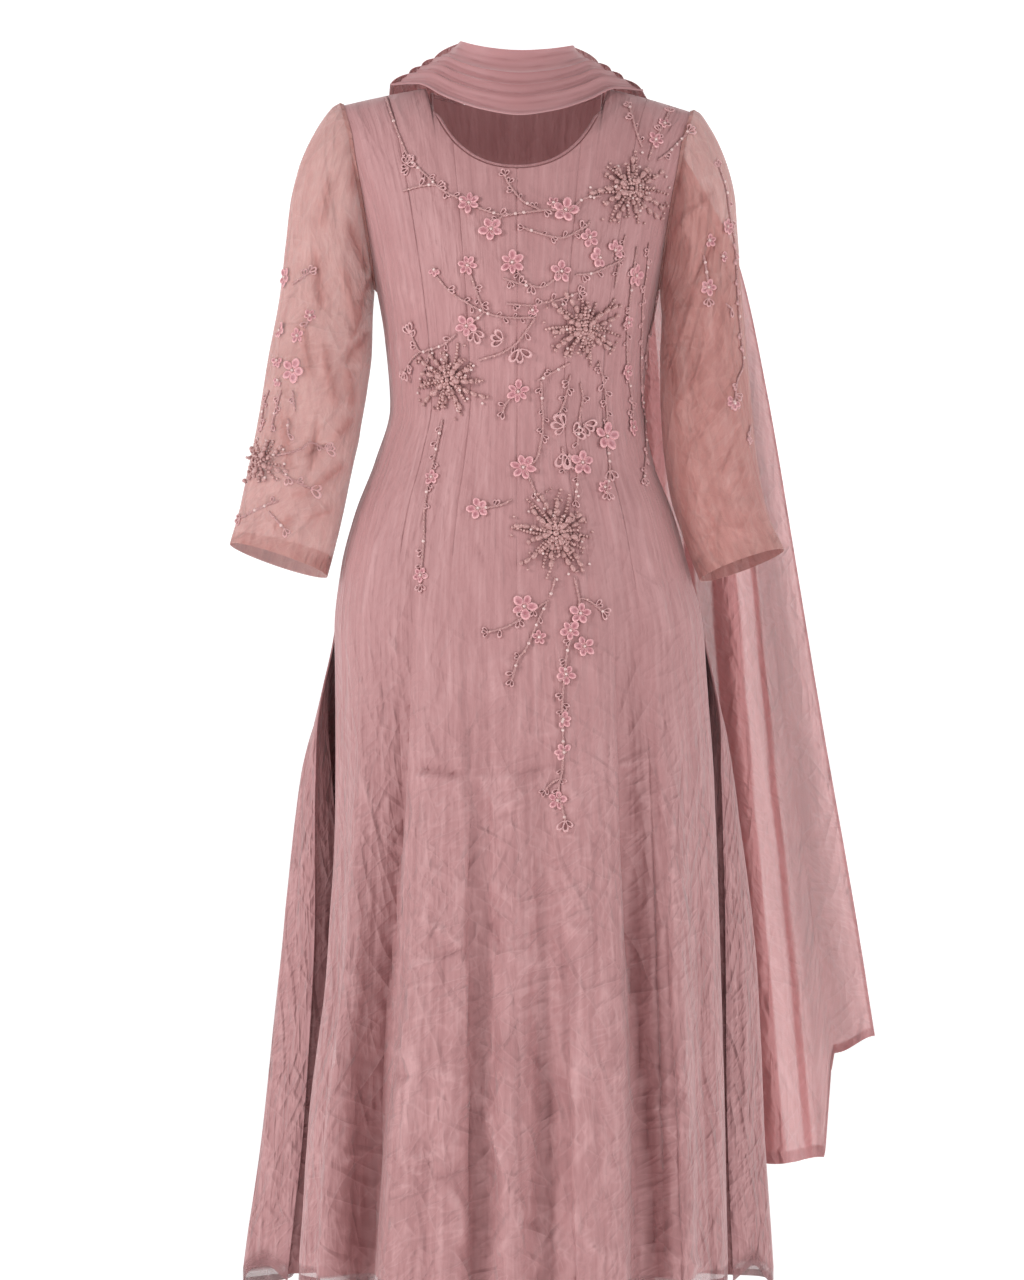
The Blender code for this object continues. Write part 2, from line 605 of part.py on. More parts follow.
def build_binding(front, back, stations_front, stations_back):
    """The narrow piped edge round the whole neckline."""
    path = []
    for (rows, normals), stations, reverse in ((front, stations_front, False),
                                               (back, stations_back, True)):
        picks = [j for j, a in enumerate(stations) if abs(a) <= NECK_SIDE + 1e-9]
        edge = [rows[-1][j] for j in picks]
        away = edge_away(edge, [normals[-1][j] for j in picks], [rows[-2][j] for j in picks])
        line = [p + a * BINDING_REACH for p, a in zip(edge, away)]
        path += line[1:-1][::-1] if reverse else line[1:-1]
        if not reverse:
            corner_ends = (line[0], line[-1])
        else:
            corners = [(a + b) / 2 for a, b in zip(corner_ends, (line[0], line[-1]))]
    middle = len([a for a in stations_front if abs(a) <= NECK_SIDE + 1e-9]) - 2
    path.insert(middle, corners[1])
    path.append(corners[0])
    mesh = bmesh.new()
    loops = []
    for i, point in enumerate(path):
        run = (path[(i + 1) % len(path)] - path[i - 1]).normalized()
        first = run.cross(Vector((0, 0, 1))).normalized()
        second = run.cross(first).normalized()
        loops.append([mesh.verts.new(point + (first * math.cos(2 * math.pi * k / BINDING_SIDES)
                                              + second * math.sin(2 * math.pi * k / BINDING_SIDES))
                                     * BINDING_RADIUS) for k in range(BINDING_SIDES)])
    for i, loop in enumerate(loops):
        following = loops[(i + 1) % len(loops)]
        for k in range(BINDING_SIDES):
            m = (k + 1) % BINDING_SIDES
            mesh.faces.new((loop[k], loop[m], following[m], following[k]))
    bmesh.ops.recalc_face_normals(mesh, faces=mesh.faces)
    add_object("neck_binding", mesh, ROSE_DARK)


# ---- dupatta ----

def pleat_height(across):
    """Height of the neck pleats: a row of rolls that meet in creases."""
    for start, end in zip(PLEAT_EDGES, PLEAT_EDGES[1:]):
        if across <= end + 1e-9:
            t = (across - start) / (end - start)
            return PLEAT_HEIGHT * math.sin(math.pi * min(max(t, 0.0), 1.0)) ** 0.7
    return 0.0


def pleat_stations():
    """Places over the dupatta's width: three spans to each neck pleat, and more below."""
    places = [0.0]
    for start, end in zip(PLEAT_EDGES, PLEAT_EDGES[1:]):
        steps = 4 if end - start > 0.25 else 3
        places += [start + (end - start) * i / steps for i in range(1, steps + 1)]
    return places


def build_neck_stretch():
    """The pleated stretch across the front of the neck, shoulder to shoulder."""
    shape = curves(SCARF_COLUMNS, SCARF)
    places = pleat_stations()
    base, heights = [], []
    for i in range(-NECK_STEPS, NECK_STEPS + 1):
        station = abs(i) / NECK_STEPS
        heights.append(1 - (1 - SHOULDER_PLEATS) * station ** 2)
        sign = -1 if i < 0 else 1
        upper = Vector((sign * shape["upper_x"](station), shape["upper_y"](station),
                        shape["upper_z"](station)))
        lower = Vector((sign * shape["lower_x"](station), shape["lower_y"](station),
                        shape["lower_z"](station)))
        tilt = Vector((0, 0, -NECK_TILT * station if sign > 0 else 0.0))
        base.append([upper.lerp(lower, w) + tilt for w in places])
    raise_pleats(base, places, heights, -1)
    normals = [[-n for n in line] for line in surface_normals(base)]
    cloth_wall("dupatta_neck", base, normals, ROSE_SHEER)


def raise_pleats(rows, places, strengths, side):
    """Move the points out along the surface by the height of the pleats."""
    normals = surface_normals(rows)
    for line, normal, strength in zip(rows, normals, strengths):
        for j, place in enumerate(places):
            line[j] = line[j] + normal[j] * side * pleat_height(place) * strength


def build_tail(name, table, folds, sign, across_steps, stepped):
    """One end of the dupatta, from the shoulder down the back to its hem."""
    shape = curves(TAIL_COLUMNS, table)
    fold_rows = records(TAIL_FOLD_COLUMNS, folds)
    places = [j / across_steps for j in range(across_steps + 1)]
    if stepped:
        lower, upper = sorted(sorted(range(len(places)),
                                     key=lambda j: abs(places[j] - RIGHT_TAIL_STEP))[:2])
        places[lower] = RIGHT_TAIL_STEP - STEP_HALF_WIDTH
        places[upper] = RIGHT_TAIL_STEP + STEP_HALF_WIDTH
    stations = [(i / TAIL_DOWN) ** 1.35 for i in range(TAIL_DOWN + 1)]
    rows = []
    for station in stations:
        value = {key: read(station) for key, read in shape.items()}
        inner = Vector((sign * value["inner_x"], value["inner_y"], value["inner_z"]))
        outer = Vector((sign * value["outer_x"], value["outer_y"], value["outer_z"]))
        line = []
        for place in places:
            point = inner.lerp(outer, place)
            wave = sum(f["depth"] * bell(place - f["across"], f["width"]) for f in fold_rows)
            point.y += wave * value["open"]
            if stepped:
                past = place - RIGHT_TAIL_STEP
                before, at, after = STEP_SHARES
                beyond = (before * place + at * ease(past / (2 * STEP_HALF_WIDTH) + 0.5)
                          + after * ease(past / (1 - RIGHT_TAIL_STEP)))
                weight = place + (beyond - place) * ease((station - 0.2) / 0.5)
                point.z = inner.z + (outer.z - inner.z) * weight
            line.append(point)
        rows.append(line)
    fade = [SHOULDER_PLEATS * (1 - ease(s / 0.2)) for s in stations]
    raise_pleats(rows, places, fade, sign)
    normals = [[n * sign for n in line] for line in surface_normals(rows)]
    cloth_wall(name, rows, normals, ROSE_SHEER)


# ---- salwar ----

def build_leg(name, sign):
    """One salwar leg: a sheet round the leg, open along the rise and joined at the inseam."""
    shape = curves(SALWAR_COLUMNS, SALWAR)
    rows = []
    for i in range(SALWAR_DOWN + 1):
        level = SALWAR[0][0] + (SALWAR[-1][0] - SALWAR[0][0]) * i / SALWAR_DOWN
        half, front, back = shape["half"](level), shape["front"](level), shape["back"](level)
        closed, inner = shape["closed"](level), shape["inner"](level)
        line = []
        for j in range(SALWAR_POINTS + 1):
            t = j / SALWAR_POINTS
            side = 1 if t > 0.5 else -1
            depth = back if side > 0 else front
            arc = math.pi * t
            open_x = inner + (half - inner) * math.sin(arc) ** 0.8
            open_y = side * depth * abs(math.cos(arc))
            round_x = (half + inner) / 2 - (half - inner) / 2 * math.cos(2 * arc)
            round_y = side * depth * abs(math.sin(2 * arc)) if 0 < j < SALWAR_POINTS else 0.0
            x = open_x + (round_x - open_x) * closed
            y = open_y + (round_y - open_y) * closed
            if j in (0, SALWAR_POINTS):
                y += side * SEAM_GAP * 0.75 * closed
            line.append(Vector((sign * x, y, level)))
        rows.append(line)
    normals = [[n * sign for n in line] for line in surface_normals(rows)]
    cloth_wall(name, rows, normals, ROSE)


def build_waistband():
    """The salwar's waistband, a closed band."""
    half, front, back = WAISTBAND_HALF
    rows = []
    for level in (SALWAR[0][0] + SEAM_GAP, WAISTBAND_TOP):
        line = []
        for j in range(WAISTBAND_POINTS):
            turn = 2 * math.pi * j / WAISTBAND_POINTS
            depth = back if math.sin(turn) > 0 else front
            line.append(Vector((half * math.cos(turn), depth * math.sin(turn), level)))
        rows.append(line)
    cloth_wall("salwar_waistband", rows, surface_normals(rows, ring=True), ROSE, ring=True)


# ---- the suit ----

FRONT_FOLD_ROWS = records(FOLD_COLUMNS, FRONT_FOLDS)
BACK_FOLD_ROWS = records(FOLD_COLUMNS, BACK_FOLDS)
BURST_ROWS = records(BURST_COLUMNS, BURSTS)

for old in list(bpy.data.objects):
    bpy.data.objects.remove(old)

front_stations = across_stations(*FRONT_STATIONS, ARMHOLE_STEPS)
back_stations = across_stations(*BACK_STATIONS, ARMHOLE_STEPS)
front_panel = build_front(front_stations)
back_panel = build_back(back_stations)
build_sleeve("sleeve_left", LEFT_SLEEVE, -1)
build_sleeve("sleeve_right", RIGHT_SLEEVE, 1)
build_binding(front_panel, back_panel, front_stations, back_stations)
build_neck_stretch()
build_tail("dupatta_tail_right", RIGHT_TAIL, RIGHT_TAIL_FOLDS, 1, RIGHT_TAIL_ACROSS, True)
build_tail("dupatta_tail_left", LEFT_TAIL, LEFT_TAIL_FOLDS, -1, LEFT_TAIL_ACROSS, False)
build_leg("salwar_leg_left", -1)
build_leg("salwar_leg_right", 1)
build_waistband()
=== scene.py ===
import math

import bpy
import numpy as np
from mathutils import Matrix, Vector
from mathutils.bvhtree import BVHTree


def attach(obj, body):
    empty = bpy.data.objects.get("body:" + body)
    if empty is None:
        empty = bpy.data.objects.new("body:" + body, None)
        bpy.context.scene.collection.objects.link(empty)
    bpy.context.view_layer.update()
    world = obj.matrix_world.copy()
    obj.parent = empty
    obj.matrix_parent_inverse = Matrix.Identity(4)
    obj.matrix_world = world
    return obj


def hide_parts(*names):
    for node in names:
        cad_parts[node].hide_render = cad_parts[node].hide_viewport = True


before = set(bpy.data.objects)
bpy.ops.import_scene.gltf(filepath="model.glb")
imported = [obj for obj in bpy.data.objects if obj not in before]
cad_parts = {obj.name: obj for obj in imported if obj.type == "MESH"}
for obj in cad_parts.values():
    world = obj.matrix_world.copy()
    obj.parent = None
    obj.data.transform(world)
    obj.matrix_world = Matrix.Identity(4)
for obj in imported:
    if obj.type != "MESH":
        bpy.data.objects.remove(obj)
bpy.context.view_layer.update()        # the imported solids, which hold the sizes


def feed(tree, node, inputs):
    """Set a node's inputs, each to a value or to another node's output."""
    for key, value in inputs.items():
        if isinstance(value, bpy.types.NodeSocket):
            tree.links.new(value, node.inputs[key])
        elif value is not None:
            node.inputs[key].default_value = value


def add_node(tree, kind, inputs, **settings):
    """A new shader node of a tree, with its own settings and its inputs."""
    node = tree.nodes.new("ShaderNode" + kind)
    for key, value in settings.items():
        setattr(node, key, value)
    feed(tree, node, inputs)
    return node


def calculate(tree, operation, *values, **settings):
    """The output of a math node."""
    return add_node(tree, "Math", dict(enumerate(values)), operation=operation,
                    **settings).outputs["Value"]


def colour_ramp(tree, factor, *stops):
    """The output of a colour ramp; a stop is its position and colour."""
    node = add_node(tree, "ValToRGB", {"Fac": factor})
    for stop, (position, colour) in zip(node.color_ramp.elements, (stops[0], stops[-1])):
        stop.position = position
        stop.color = (*colour, 1.0)
    for position, colour in stops[1:-1]:
        node.color_ramp.elements.new(position).color = (*colour, 1.0)
    return node.outputs["Color"]


def multiply_colour(tree, factor, first, second):
    """The output of a mix node that multiplies the first colour by the second."""
    return add_node(tree, "Mix", {"Factor": factor, "A": first, "B": second}, data_type="RGBA",
                    blend_type="MULTIPLY").outputs["Result"]


def bumped(tree, height, distance):
    """The normal of a surface raised by the height."""
    return add_node(tree, "Bump", {"Strength": 1.0, "Distance": distance,
                                   "Height": height}).outputs["Normal"]


def new_material(name):
    """A material, its node tree and its surface shader."""
    material = bpy.data.materials.new(name)
    material.use_nodes = True
    return material, material.node_tree, material.node_tree.nodes["Principled BSDF"]


def new_object(name, data, place=(0.0, 0.0, 0.0)):
    """An object of the scene that shows the data."""
    thing = bpy.data.objects.new(name, data)
    thing.location = place
    bpy.context.collection.objects.link(thing)
    return thing


def new_piece(name, mesh, material):
    """A smooth object of the scene, made of one material."""
    mesh.shade_smooth()
    mesh.materials.append(material)
    return new_object(name, mesh)


def new_mesh(name, points, corners, sizes):
    """A mesh from its points, the corners of all its faces in a row, and each face's count."""
    mesh = bpy.data.meshes.new(name)
    mesh.vertices.add(len(points))
    mesh.vertices.foreach_set("co", points.ravel())
    mesh.loops.add(len(corners))
    mesh.loops.foreach_set("vertex_index", corners.astype(np.int32))
    mesh.polygons.add(len(sizes))
    mesh.polygons.foreach_set("loop_start", (np.cumsum(sizes) - sizes).astype(np.int32))
    mesh.update(calc_edges=True)
    return mesh


def add_uv(mesh, name, places):
    """Give a mesh a UV map, one place for each corner of its faces."""
    mesh.uv_layers.new(name=name).data.foreach_set("uv", places.astype(np.float32).ravel())


def edit_mesh(*steps):
    """Run mesh operators, each with its settings, on everything in the active object."""
    bpy.ops.object.mode_set(mode="EDIT")
    bpy.ops.mesh.select_all(action="SELECT")
    for operator, settings in steps:
        operator(**settings)
    bpy.ops.object.mode_set(mode="OBJECT")


# Camera, paper sweep and lights. The suit keeps its worn form over a white paper sweep, lit by
# one broad soft light from the left, a weaker one from the right and a plain white sky, with a
# faint lamp inside so that the neck's inner face isn't black.
EYE = Vector((-0.0051, -4.0, -0.563))
LAMP_PLACE = (0.0, 0.0, -0.24)
camera_data = bpy.data.cameras.new("camera")
camera_data.lens = 110.3
camera_data.sensor_width = 36.0
camera_data.clip_end = 50.0
camera = new_object("camera", camera_data, EYE)
camera.rotation_euler = (math.pi / 2, 0.0, 0.0)
bpy.context.scene.camera = camera

bpy.ops.object.select_all(action="DESELECT")
bpy.ops.mesh.primitive_plane_add(size=1.0)
sweep = bpy.context.object
sweep.name = "paper_sweep"
bpy.ops.object.mode_set(mode="EDIT")
bpy.ops.transform.resize(value=(24.0, 22.0, 1.0))
bpy.ops.transform.translate(value=(0.0, 0.0, -1.45))
bpy.ops.mesh.select_all(action="DESELECT")
bpy.ops.object.mode_set(mode="OBJECT")
for edge in sweep.data.edges:
    edge.select = all(sweep.data.vertices[v].co.y > 3.0 for v in edge.vertices)
bpy.ops.object.mode_set(mode="EDIT")
bpy.ops.mesh.select_mode(type="EDGE")
bpy.ops.mesh.extrude_region_move(TRANSFORM_OT_translate={"value": (0.0, 0.0, 9.0)})
bpy.ops.object.mode_set(mode="OBJECT")
for edge in sweep.data.edges:
    edge.select = all(sweep.data.vertices[v].co.y > 3.0 and sweep.data.vertices[v].co.z < 0.0
                      for v in edge.vertices)
bpy.ops.object.mode_set(mode="EDIT")
bpy.ops.mesh.bevel(offset=1.6, segments=12, affect="EDGES")
bpy.ops.object.mode_set(mode="OBJECT")
bpy.ops.object.shade_smooth()
paper, paper_tree, paper_shader = new_material("white paper")
feed(paper_tree, paper_shader, {
    "Base Color": (0.93, 0.93, 0.93, 1.0), "Roughness": 0.9, "Specular IOR Level": 0.1,
    "Emission Color": (1.0, 1.0, 1.0, 1.0), "Emission Strength": 0.42})
sweep.data.materials.append(paper)

for light_name, place, aim, size, power in (
        ("window_left", (-3.3, -1.9, 0.9), (0.0, 0.0, -0.60), 1.1, 76.0),
        ("window_right", (3.2, -2.0, 0.2), (0.0, 0.0, -0.7), 2.0, 42.0)):
    light_data = bpy.data.lights.new(light_name, "AREA")
    light_data.size = size
    light_data.energy = power
    light = new_object(light_name, light_data, place)
    light.rotation_euler = (Vector(aim) - Vector(place)).to_track_quat("-Z", "Y").to_euler()
lamp_data = bpy.data.lights.new("inside_lamp", "POINT")
lamp_data.shadow_soft_size = 0.05
lamp_data.energy = 0.30
new_object("inside_lamp", lamp_data, LAMP_PLACE)
sky = bpy.data.worlds.new("white sky")
sky.use_nodes = True
feed(sky.node_tree, sky.node_tree.nodes["Background"],
     {"Color": (1.0, 1.0, 1.0, 1.0), "Strength": 0.52})
bpy.context.scene.world = sky
bpy.context.scene.view_settings.view_transform = "Standard"


# Front of the kameez. Six gores of hand-crushed silk chiffon over a plain ground, sewn edge to
# edge from the neckline and shoulders down to the hem, with a narrow hem folded to the inside
# along the bottom and up both side slits.
SLIT_TOP = -0.555
FRONT_HEM = -1.207
FRONT_CREASE_SHARE = 2.4    # how much of a crease's stated height each piece takes
BACK_CREASE_SHARE = 1.5
SLEEVE_CREASE_SHARE = 2.8
HEM_DOWN = 1210          # where the long folds end, in millimetres below the shoulders
HEM_WIDTH = 0.007
PANEL_THICK = 0.0009
PANEL_HEM = {"thick": 0.0005, "out": -0.0008, "hem": 0.5}    # folded back inside
FULL_SHADE_DEPTH = 0.013
HEM_BAND = 0.0072        # height of the doubled cloth, as it shows
SHEER_EDGE = 0.018       # how far the chiffon reaches past the ground
SHEER_FADE = 0.003
CREST_HEIGHT = 0.002     # a crease this high is lit as a full crest
YOKE_LEVEL = -0.255
NECK_SIDE = 0.308
FRONT_NECK_DROP = 0.094
SHOULDER_SIDE = 0.71
SHOULDER_DROP = {"left": 0.019, "right": 0.026}
SHOULDER_START = 0.085
SHOULDER_RUN = 0.095
ARMHOLE_DROP = 0.205
SEAMS = (-0.46, -0.235, 0.0, 0.235, 0.46)
KAMEEZ_COLUMNS = ("level", "left", "right", "back_left", "back_right", "front", "back", "wrap")
KAMEEZ = (
    (0.000, 0.2000, 0.2000, 0.2000, 0.2000, 0.000, 0.000, 0.0),
    (-0.004, 0.1985, 0.1985, 0.1985, 0.1985, 0.018, 0.020, 0.0),
    (-0.014, 0.1945, 0.1945, 0.1945, 0.1945, 0.038, 0.040, 0.0),
    (-0.035, 0.1860, 0.1860, 0.1860, 0.1860, 0.062, 0.060, 0.0),
    (-0.070, 0.1760, 0.1760, 0.1760, 0.1760, 0.086, 0.079, 0.0),
    (-0.110, 0.1650, 0.1650, 0.1650, 0.1650, 0.106, 0.093, 0.0),
    (-0.155, 0.1540, 0.1540, 0.1540, 0.1540, 0.123, 0.101, 0.0),
    (-0.205, 0.1430, 0.1430, 0.1430, 0.1430, 0.129, 0.102, 0.0),
    (-0.255, 0.1345, 0.1345, 0.1345, 0.1345, 0.118, 0.096, 0.0),
    (-0.325, 0.1290, 0.1285, 0.1290, 0.1285, 0.103, 0.088, 0.0),
    (-0.380, 0.1440, 0.1380, 0.1440, 0.1380, 0.104, 0.094, 0.0),
    (-0.435, 0.1650, 0.1590, 0.1650, 0.1590, 0.112, 0.110, 0.0),
    (-0.490, 0.1790, 0.1745, 0.1790, 0.1745, 0.121, 0.126, 0.0),
    (-0.555, 0.1860, 0.1900, 0.1860, 0.1900, 0.127, 0.138, 0.0),
    (-0.615, 0.1845, 0.1930, 0.1990, 0.2040, 0.129, 0.145, 5.0),
    (-0.700, 0.1840, 0.1990, 0.2180, 0.2210, 0.132, 0.155, 20.0),
    (-0.900, 0.1930, 0.2060, 0.2350, 0.2410, 0.140, 0.172, 28.0),
    (-1.050, 0.2100, 0.2110, 0.2480, 0.2450, 0.146, 0.184, 29.0),
    (-1.210, 0.2200, 0.2140, 0.2700, 0.2540, 0.150, 0.194, 30.0),
)
FRONT_FOLDS = (  # waist, hem, begins, depth, width
    (-0.80, -0.81, -0.56, -0.016, 0.080),
    (-0.66, -0.64, -0.50, 0.019, 0.070),
    (-0.40, -0.51, -0.40, -0.031, 0.085),
    (-0.28, -0.39, -0.46, 0.012, 0.080),
    (-0.15, -0.20, -0.50, 0.011, 0.080),
    (-0.10, -0.115, -0.50, -0.022, 0.050),
    (-0.01, -0.015, -0.52, 0.013, 0.065),
    (0.07, 0.085, -0.52, -0.018, 0.048),
    (0.20, 0.245, -0.42, 0.018, 0.120),
    (0.40, 0.405, -0.40, -0.034, 0.060),
    (0.52, 0.540, -0.46, 0.019, 0.080),
    (0.74, 0.700, -0.60, -0.012, 0.080),
)
# Pressed folds of the front skirt: troughs with one steep side and one gentle side, where one
# panel of cloth lies behind the next. Places are in millimetres as seen from ahead, to the right
# of the middle and down from the shoulders; a negative steep width puts the steep side left.
FRONT_LONG_FOLDS = (  # top_x, top_down, middle_x, middle_down, hem_x, depth, steep, gentle
    (-98, 420, -115, 740, -148, 14.0, 2.5, 14),
    (-58, 440, -46, 740, -42, 8.0, -2.5, 9),
    (-14, 540, -9, 800, 14, 3.0, -8.0, 16),
    (40, 680, 49, 950, 54, 7.5, 2.5, 11),
    (92, 420, 110, 821, 130, 13.0, -2.5, 15),
    (130, 540, 148, 920, 161, 7.0, -4.0, 13),
    (158, 640, 183, 905, 197, 6.0, -4.0, 12),
    (-150, 540, -149, 877, -158, 6.0, 5.0, 16),
    (-76, 860, -84, 1040, -90, 4.0, 4.0, 14),
    (66, 470, 72, 700, 80, 1.5, -4.0, 14),
    (20, 420, 24, 600, 22, 3.5, -4.0, 12),
    (-114, 390, -132, 560, -150, 4.0, 4.0, 12),
    (112, 400, 128, 560, 140, 4.0, -4.0, 12),
    (-30, 430, -30, 600, -24, 3.0, 4.0, 12),
)
# Creases of the front, in millimetres as seen from ahead: from and to, each as a distance to
# the right of the middle and down from the shoulders; then height (a trough is negative) and
# half width.
FRONT_CREASES = (  # from_x, from_down, to_x, to_down, height, width
    (-104, 689, -50, 696, -2.2, 9), (-102, 697, -52, 703, 1.5, 7),
    (-46, 696, -21, 703, 2.0, 8), (-21, 703, -2, 696, 2.0, 8),
    (-2, 696, 44, 684, -1.7, 8), (-36, 696, -21, 726, 2.2, 7),
    (-21, 735, 13, 708, 1.8, 7), (-21, 735, -2, 734, -1.6, 7),
    (46, 708, 69, 721, 1.6, 6), (10, 658, 43, 653, 1.3, 6),
    (-128, 563, -118, 578, 1.8, 6), (-41, 464, -33, 488, -1.6, 6),
    (-14, 582, -4, 592, 1.5, 5), (139, 505, 151, 563, 1.6, 6),
    (100, 689, 129, 682, 1.5, 7), (114, 699, 129, 730, 1.8, 7),
    (-157, 694, -142, 730, 1.6, 7), (-92, 835, -66, 853, 2.4, 8),
    (-66, 853, -49, 864, 2.2, 8), (-49, 864, -78, 873, -2.0, 8),
    (-78, 873, -106, 884, 2.0, 8), (-47, 835, -49, 880, -1.8, 7),
    (-12, 864, 3, 877, 2.2, 8), (3, 877, 31, 883, 2.0, 8),
    (-29, 835, -17, 867, -1.8, 6), (-121, 965, -101, 973, 1.8, 7),
    (-101, 973, -89, 985, 1.6, 7), (-89, 985, -49, 990, 2.0, 8),
    (-121, 990, -98, 989, -1.6, 7), (-40, 996, -32, 1025, 2.4, 8),
    (-32, 1025, -12, 1076, 2.4, 8), (20, 965, 26, 985, -2.0, 7),
    (26, 985, 31, 1036, -1.8, 7), (48, 985, 77, 979, 2.0, 8),
    (77, 979, 106, 990, 1.8, 8), (51, 990, 60, 1016, 1.8, 7),
    (126, 887, 140, 893, 1.8, 7), (140, 893, 143, 913, 1.6, 6),
    (160, 979, 166, 1002, 2.0, 7), (166, 1002, 163, 1025, -1.8, 7),
    (126, 1016, 143, 1036, 1.8, 7), (143, 1036, 155, 1053, 1.8, 7),
    (-92, 890, -98, 950, 2.0, 7), (-98, 950, -112, 1076, 2.2, 8),
    (-112, 1071, -72, 1062, 2.2, 8), (-72, 1062, -55, 1045, 1.8, 7),
    (-112, 1076, -86, 1088, 2.0, 8), (-86, 1088, -55, 1082, -2.0, 8),
    (-124, 1105, -101, 1091, 1.8, 7), (-66, 1096, -55, 1122, 2.2, 7),
    (-55, 1122, -58, 1151, 1.8, 7), (8, 1114, -3, 1137, 2.4, 8),
    (-3, 1137, -20, 1160, 2.2, 8), (8, 1128, 26, 1137, -2.0, 7),
    (26, 1137, 20, 1180, 2.2, 8), (26, 1125, 48, 1171, 2.4, 8),
    (54, 1114, 63, 1140, 2.2, 8), (63, 1140, 94, 1171, 2.2, 8),
    (140, 1165, 169, 1171, 2.0, 8), (169, 1171, 186, 1188, 1.8, 7),
    (-175, 1079, -141, 1068, 1.8, 7), (-178, 1140, -161, 1148, 1.8, 7),
    (-164, 887, -150, 921, 1.8, 7), (183, 812, 198, 815, 1.5, 6),
    (149, 787, 163, 801, 1.8, 7), (163, 801, 175, 795, 1.6, 7),
    (43, 841, 74, 853, 1.8, 7), (-125, 170, -98, 196, 1.2, 6),
    (-118, 205, -92, 236, 1.3, 6), (-120, 262, -108, 301, 1.2, 6),
    (118, 176, 98, 204, 1.2, 6), (120, 226, 104, 252, 1.1, 6),
    (-60, 380, -66, 452, 1.4, 6), (-98, 404, -110, 470, 1.5, 6),
    (22, 402, 26, 470, 1.2, 6), (86, 396, 98, 472, 1.5, 6),
    (118, 420, 134, 500, 1.5, 6), (-140, 460, -152, 540, 1.6, 6),
)


def unit(vectors):
    """Each vector at a length of 1."""
    return vectors / np.linalg.norm(vectors, axis=-1, keepdims=True)


def joined(*values):
    """Points whose coordinates are given apart, such as one by rows and one by columns."""
    return np.stack(np.broadcast_arrays(*values), axis=-1)


def turns(count):
    """Angles evenly round a circle."""
    return 2 * np.pi * np.arange(count) / count


def run_length(points):
    """How far along a line of points each one lies."""
    return np.concatenate(([0.0], np.cumsum(np.linalg.norm(np.diff(points, axis=0), axis=1))))


def along_line(points, run, goal):
    """Points at other distances along a line."""
    return np.stack([np.interp(goal, run, points[:, k]) for k in range(3)], axis=-1)


def ease(t):
    """Smooth step from 0 to 1."""
    t = np.clip(t, 0.0, 1.0)
    return t * t * (3 - 2 * t)


def bell(distance, width):
    """A rounded hump, 1 in its middle and 0 beyond twice its half width."""
    t = np.minimum(np.abs(distance) / (2 * width), 1.0)
    return np.maximum(0.5 + 0.5 * np.cos(np.pi * t), 0.0) ** 1.2


def curves(columns, rows):
    """Each named column as a smooth function of the first, which never swings past its rows."""
    order = np.array(sorted(rows))
    keys, found = order[:, 0], {}
    for name in columns[1:]:
        values = order[:, columns.index(name)]
        steps = np.diff(values) / np.diff(keys)
        product, total = steps[:-1] * steps[1:], steps[:-1] + steps[1:]
        inner = np.where(product > 0, 2 * product / np.where(product > 0, total, 1.0), 0.0)
        tangents = np.concatenate((steps[:1], inner, steps[-1:]))

        def value_at(key, values=values, tangents=tangents):
            key = np.clip(key, keys[0], keys[-1])
            i = np.clip(np.searchsorted(keys, key, side="right") - 1, 0, len(keys) - 2)
            span = keys[i + 1] - keys[i]
            t = (key - keys[i]) / span
            return (values[i] * (1 + 2 * t) * (1 - t) ** 2
                    + values[i + 1] * t * t * (3 - 2 * t)
                    + tangents[i] * span * t * (1 - t) ** 2
                    - tangents[i + 1] * span * t * t * (1 - t))

        found[name] = value_at
    return found


SHAPE = curves(KAMEEZ_COLUMNS, KAMEEZ)


def fold_offset(folds, across, level):
    """How far the folds of the skirt move a point outwards."""
    total = np.zeros_like(across + level)
    for waist, hem, begins, depth, width in folds:
        down = np.clip((begins - level) / (begins - FRONT_HEM), 0.0, 1.0)
        place = waist + (hem - waist) * down
        total = total + depth * ease(down) ** 0.8 * bell(across - place, width)
    return total


def shoulder_fall(x, level):
    """How far the shoulder slope lowers a point; it fades out down the chest."""
    drop = np.where(x < 0, SHOULDER_DROP["left"], SHOULDER_DROP["right"])
    slope = (np.maximum(np.abs(x) - SHOULDER_START, 0.0) / SHOULDER_RUN) ** 1.2
    return drop * slope * ease(1 + level / 0.17)


def slit_opening(level):
    """How far the side slits stand open: 0 down to their tops, then growing to 1."""
    return np.sin(np.pi / 2 * np.clip((SLIT_TOP - level) / 0.5, 0.0, 1.0))


def front_surface(across, level):
    """Points of the front; across runs from -1 to 1, side seam to side seam."""
    half = np.where(across < 0, SHAPE["left"](level), SHAPE["right"](level))
    angle = across * np.pi / 2
    square = 1.0 - 0.32 * ease((-0.35 - level) / 0.7) - 0.30 * ease(1 + level / 0.20)
    x = half * np.sin(angle)
    y = (-SHAPE["front"](level) * np.maximum(np.cos(angle), 0.0) ** square
         - 0.030 * slit_opening(level))
    out = fold_offset(FRONT_FOLDS, across, level)
    x = x + out * np.sin(angle) * 0.6
    y = y - out * (0.35 + 0.65 * np.cos(angle))
    return joined(x, y, level - shoulder_fall(x, level))


def armhole_level(across):
    """Height of the armhole's edge, from the shoulder tip down to the underarm."""
    t = np.clip((across - SHOULDER_SIDE) / (1 - SHOULDER_SIDE), 0.0, 1.0)
    return -ARMHOLE_DROP * np.sin(np.pi / 2 * t) ** 0.85


def top_level(across, neck_drop):
    """Height of a panel's upper edge: neckline, shoulder seam or armhole."""
    a = np.abs(across)
    neck = -neck_drop * np.maximum(1 - (a / NECK_SIDE) ** 2.2, 0.0) ** (1 / 2.2)
    return np.where(a < NECK_SIDE, neck, np.where(a <= SHOULDER_SIDE, 0.0, armhole_level(a)))


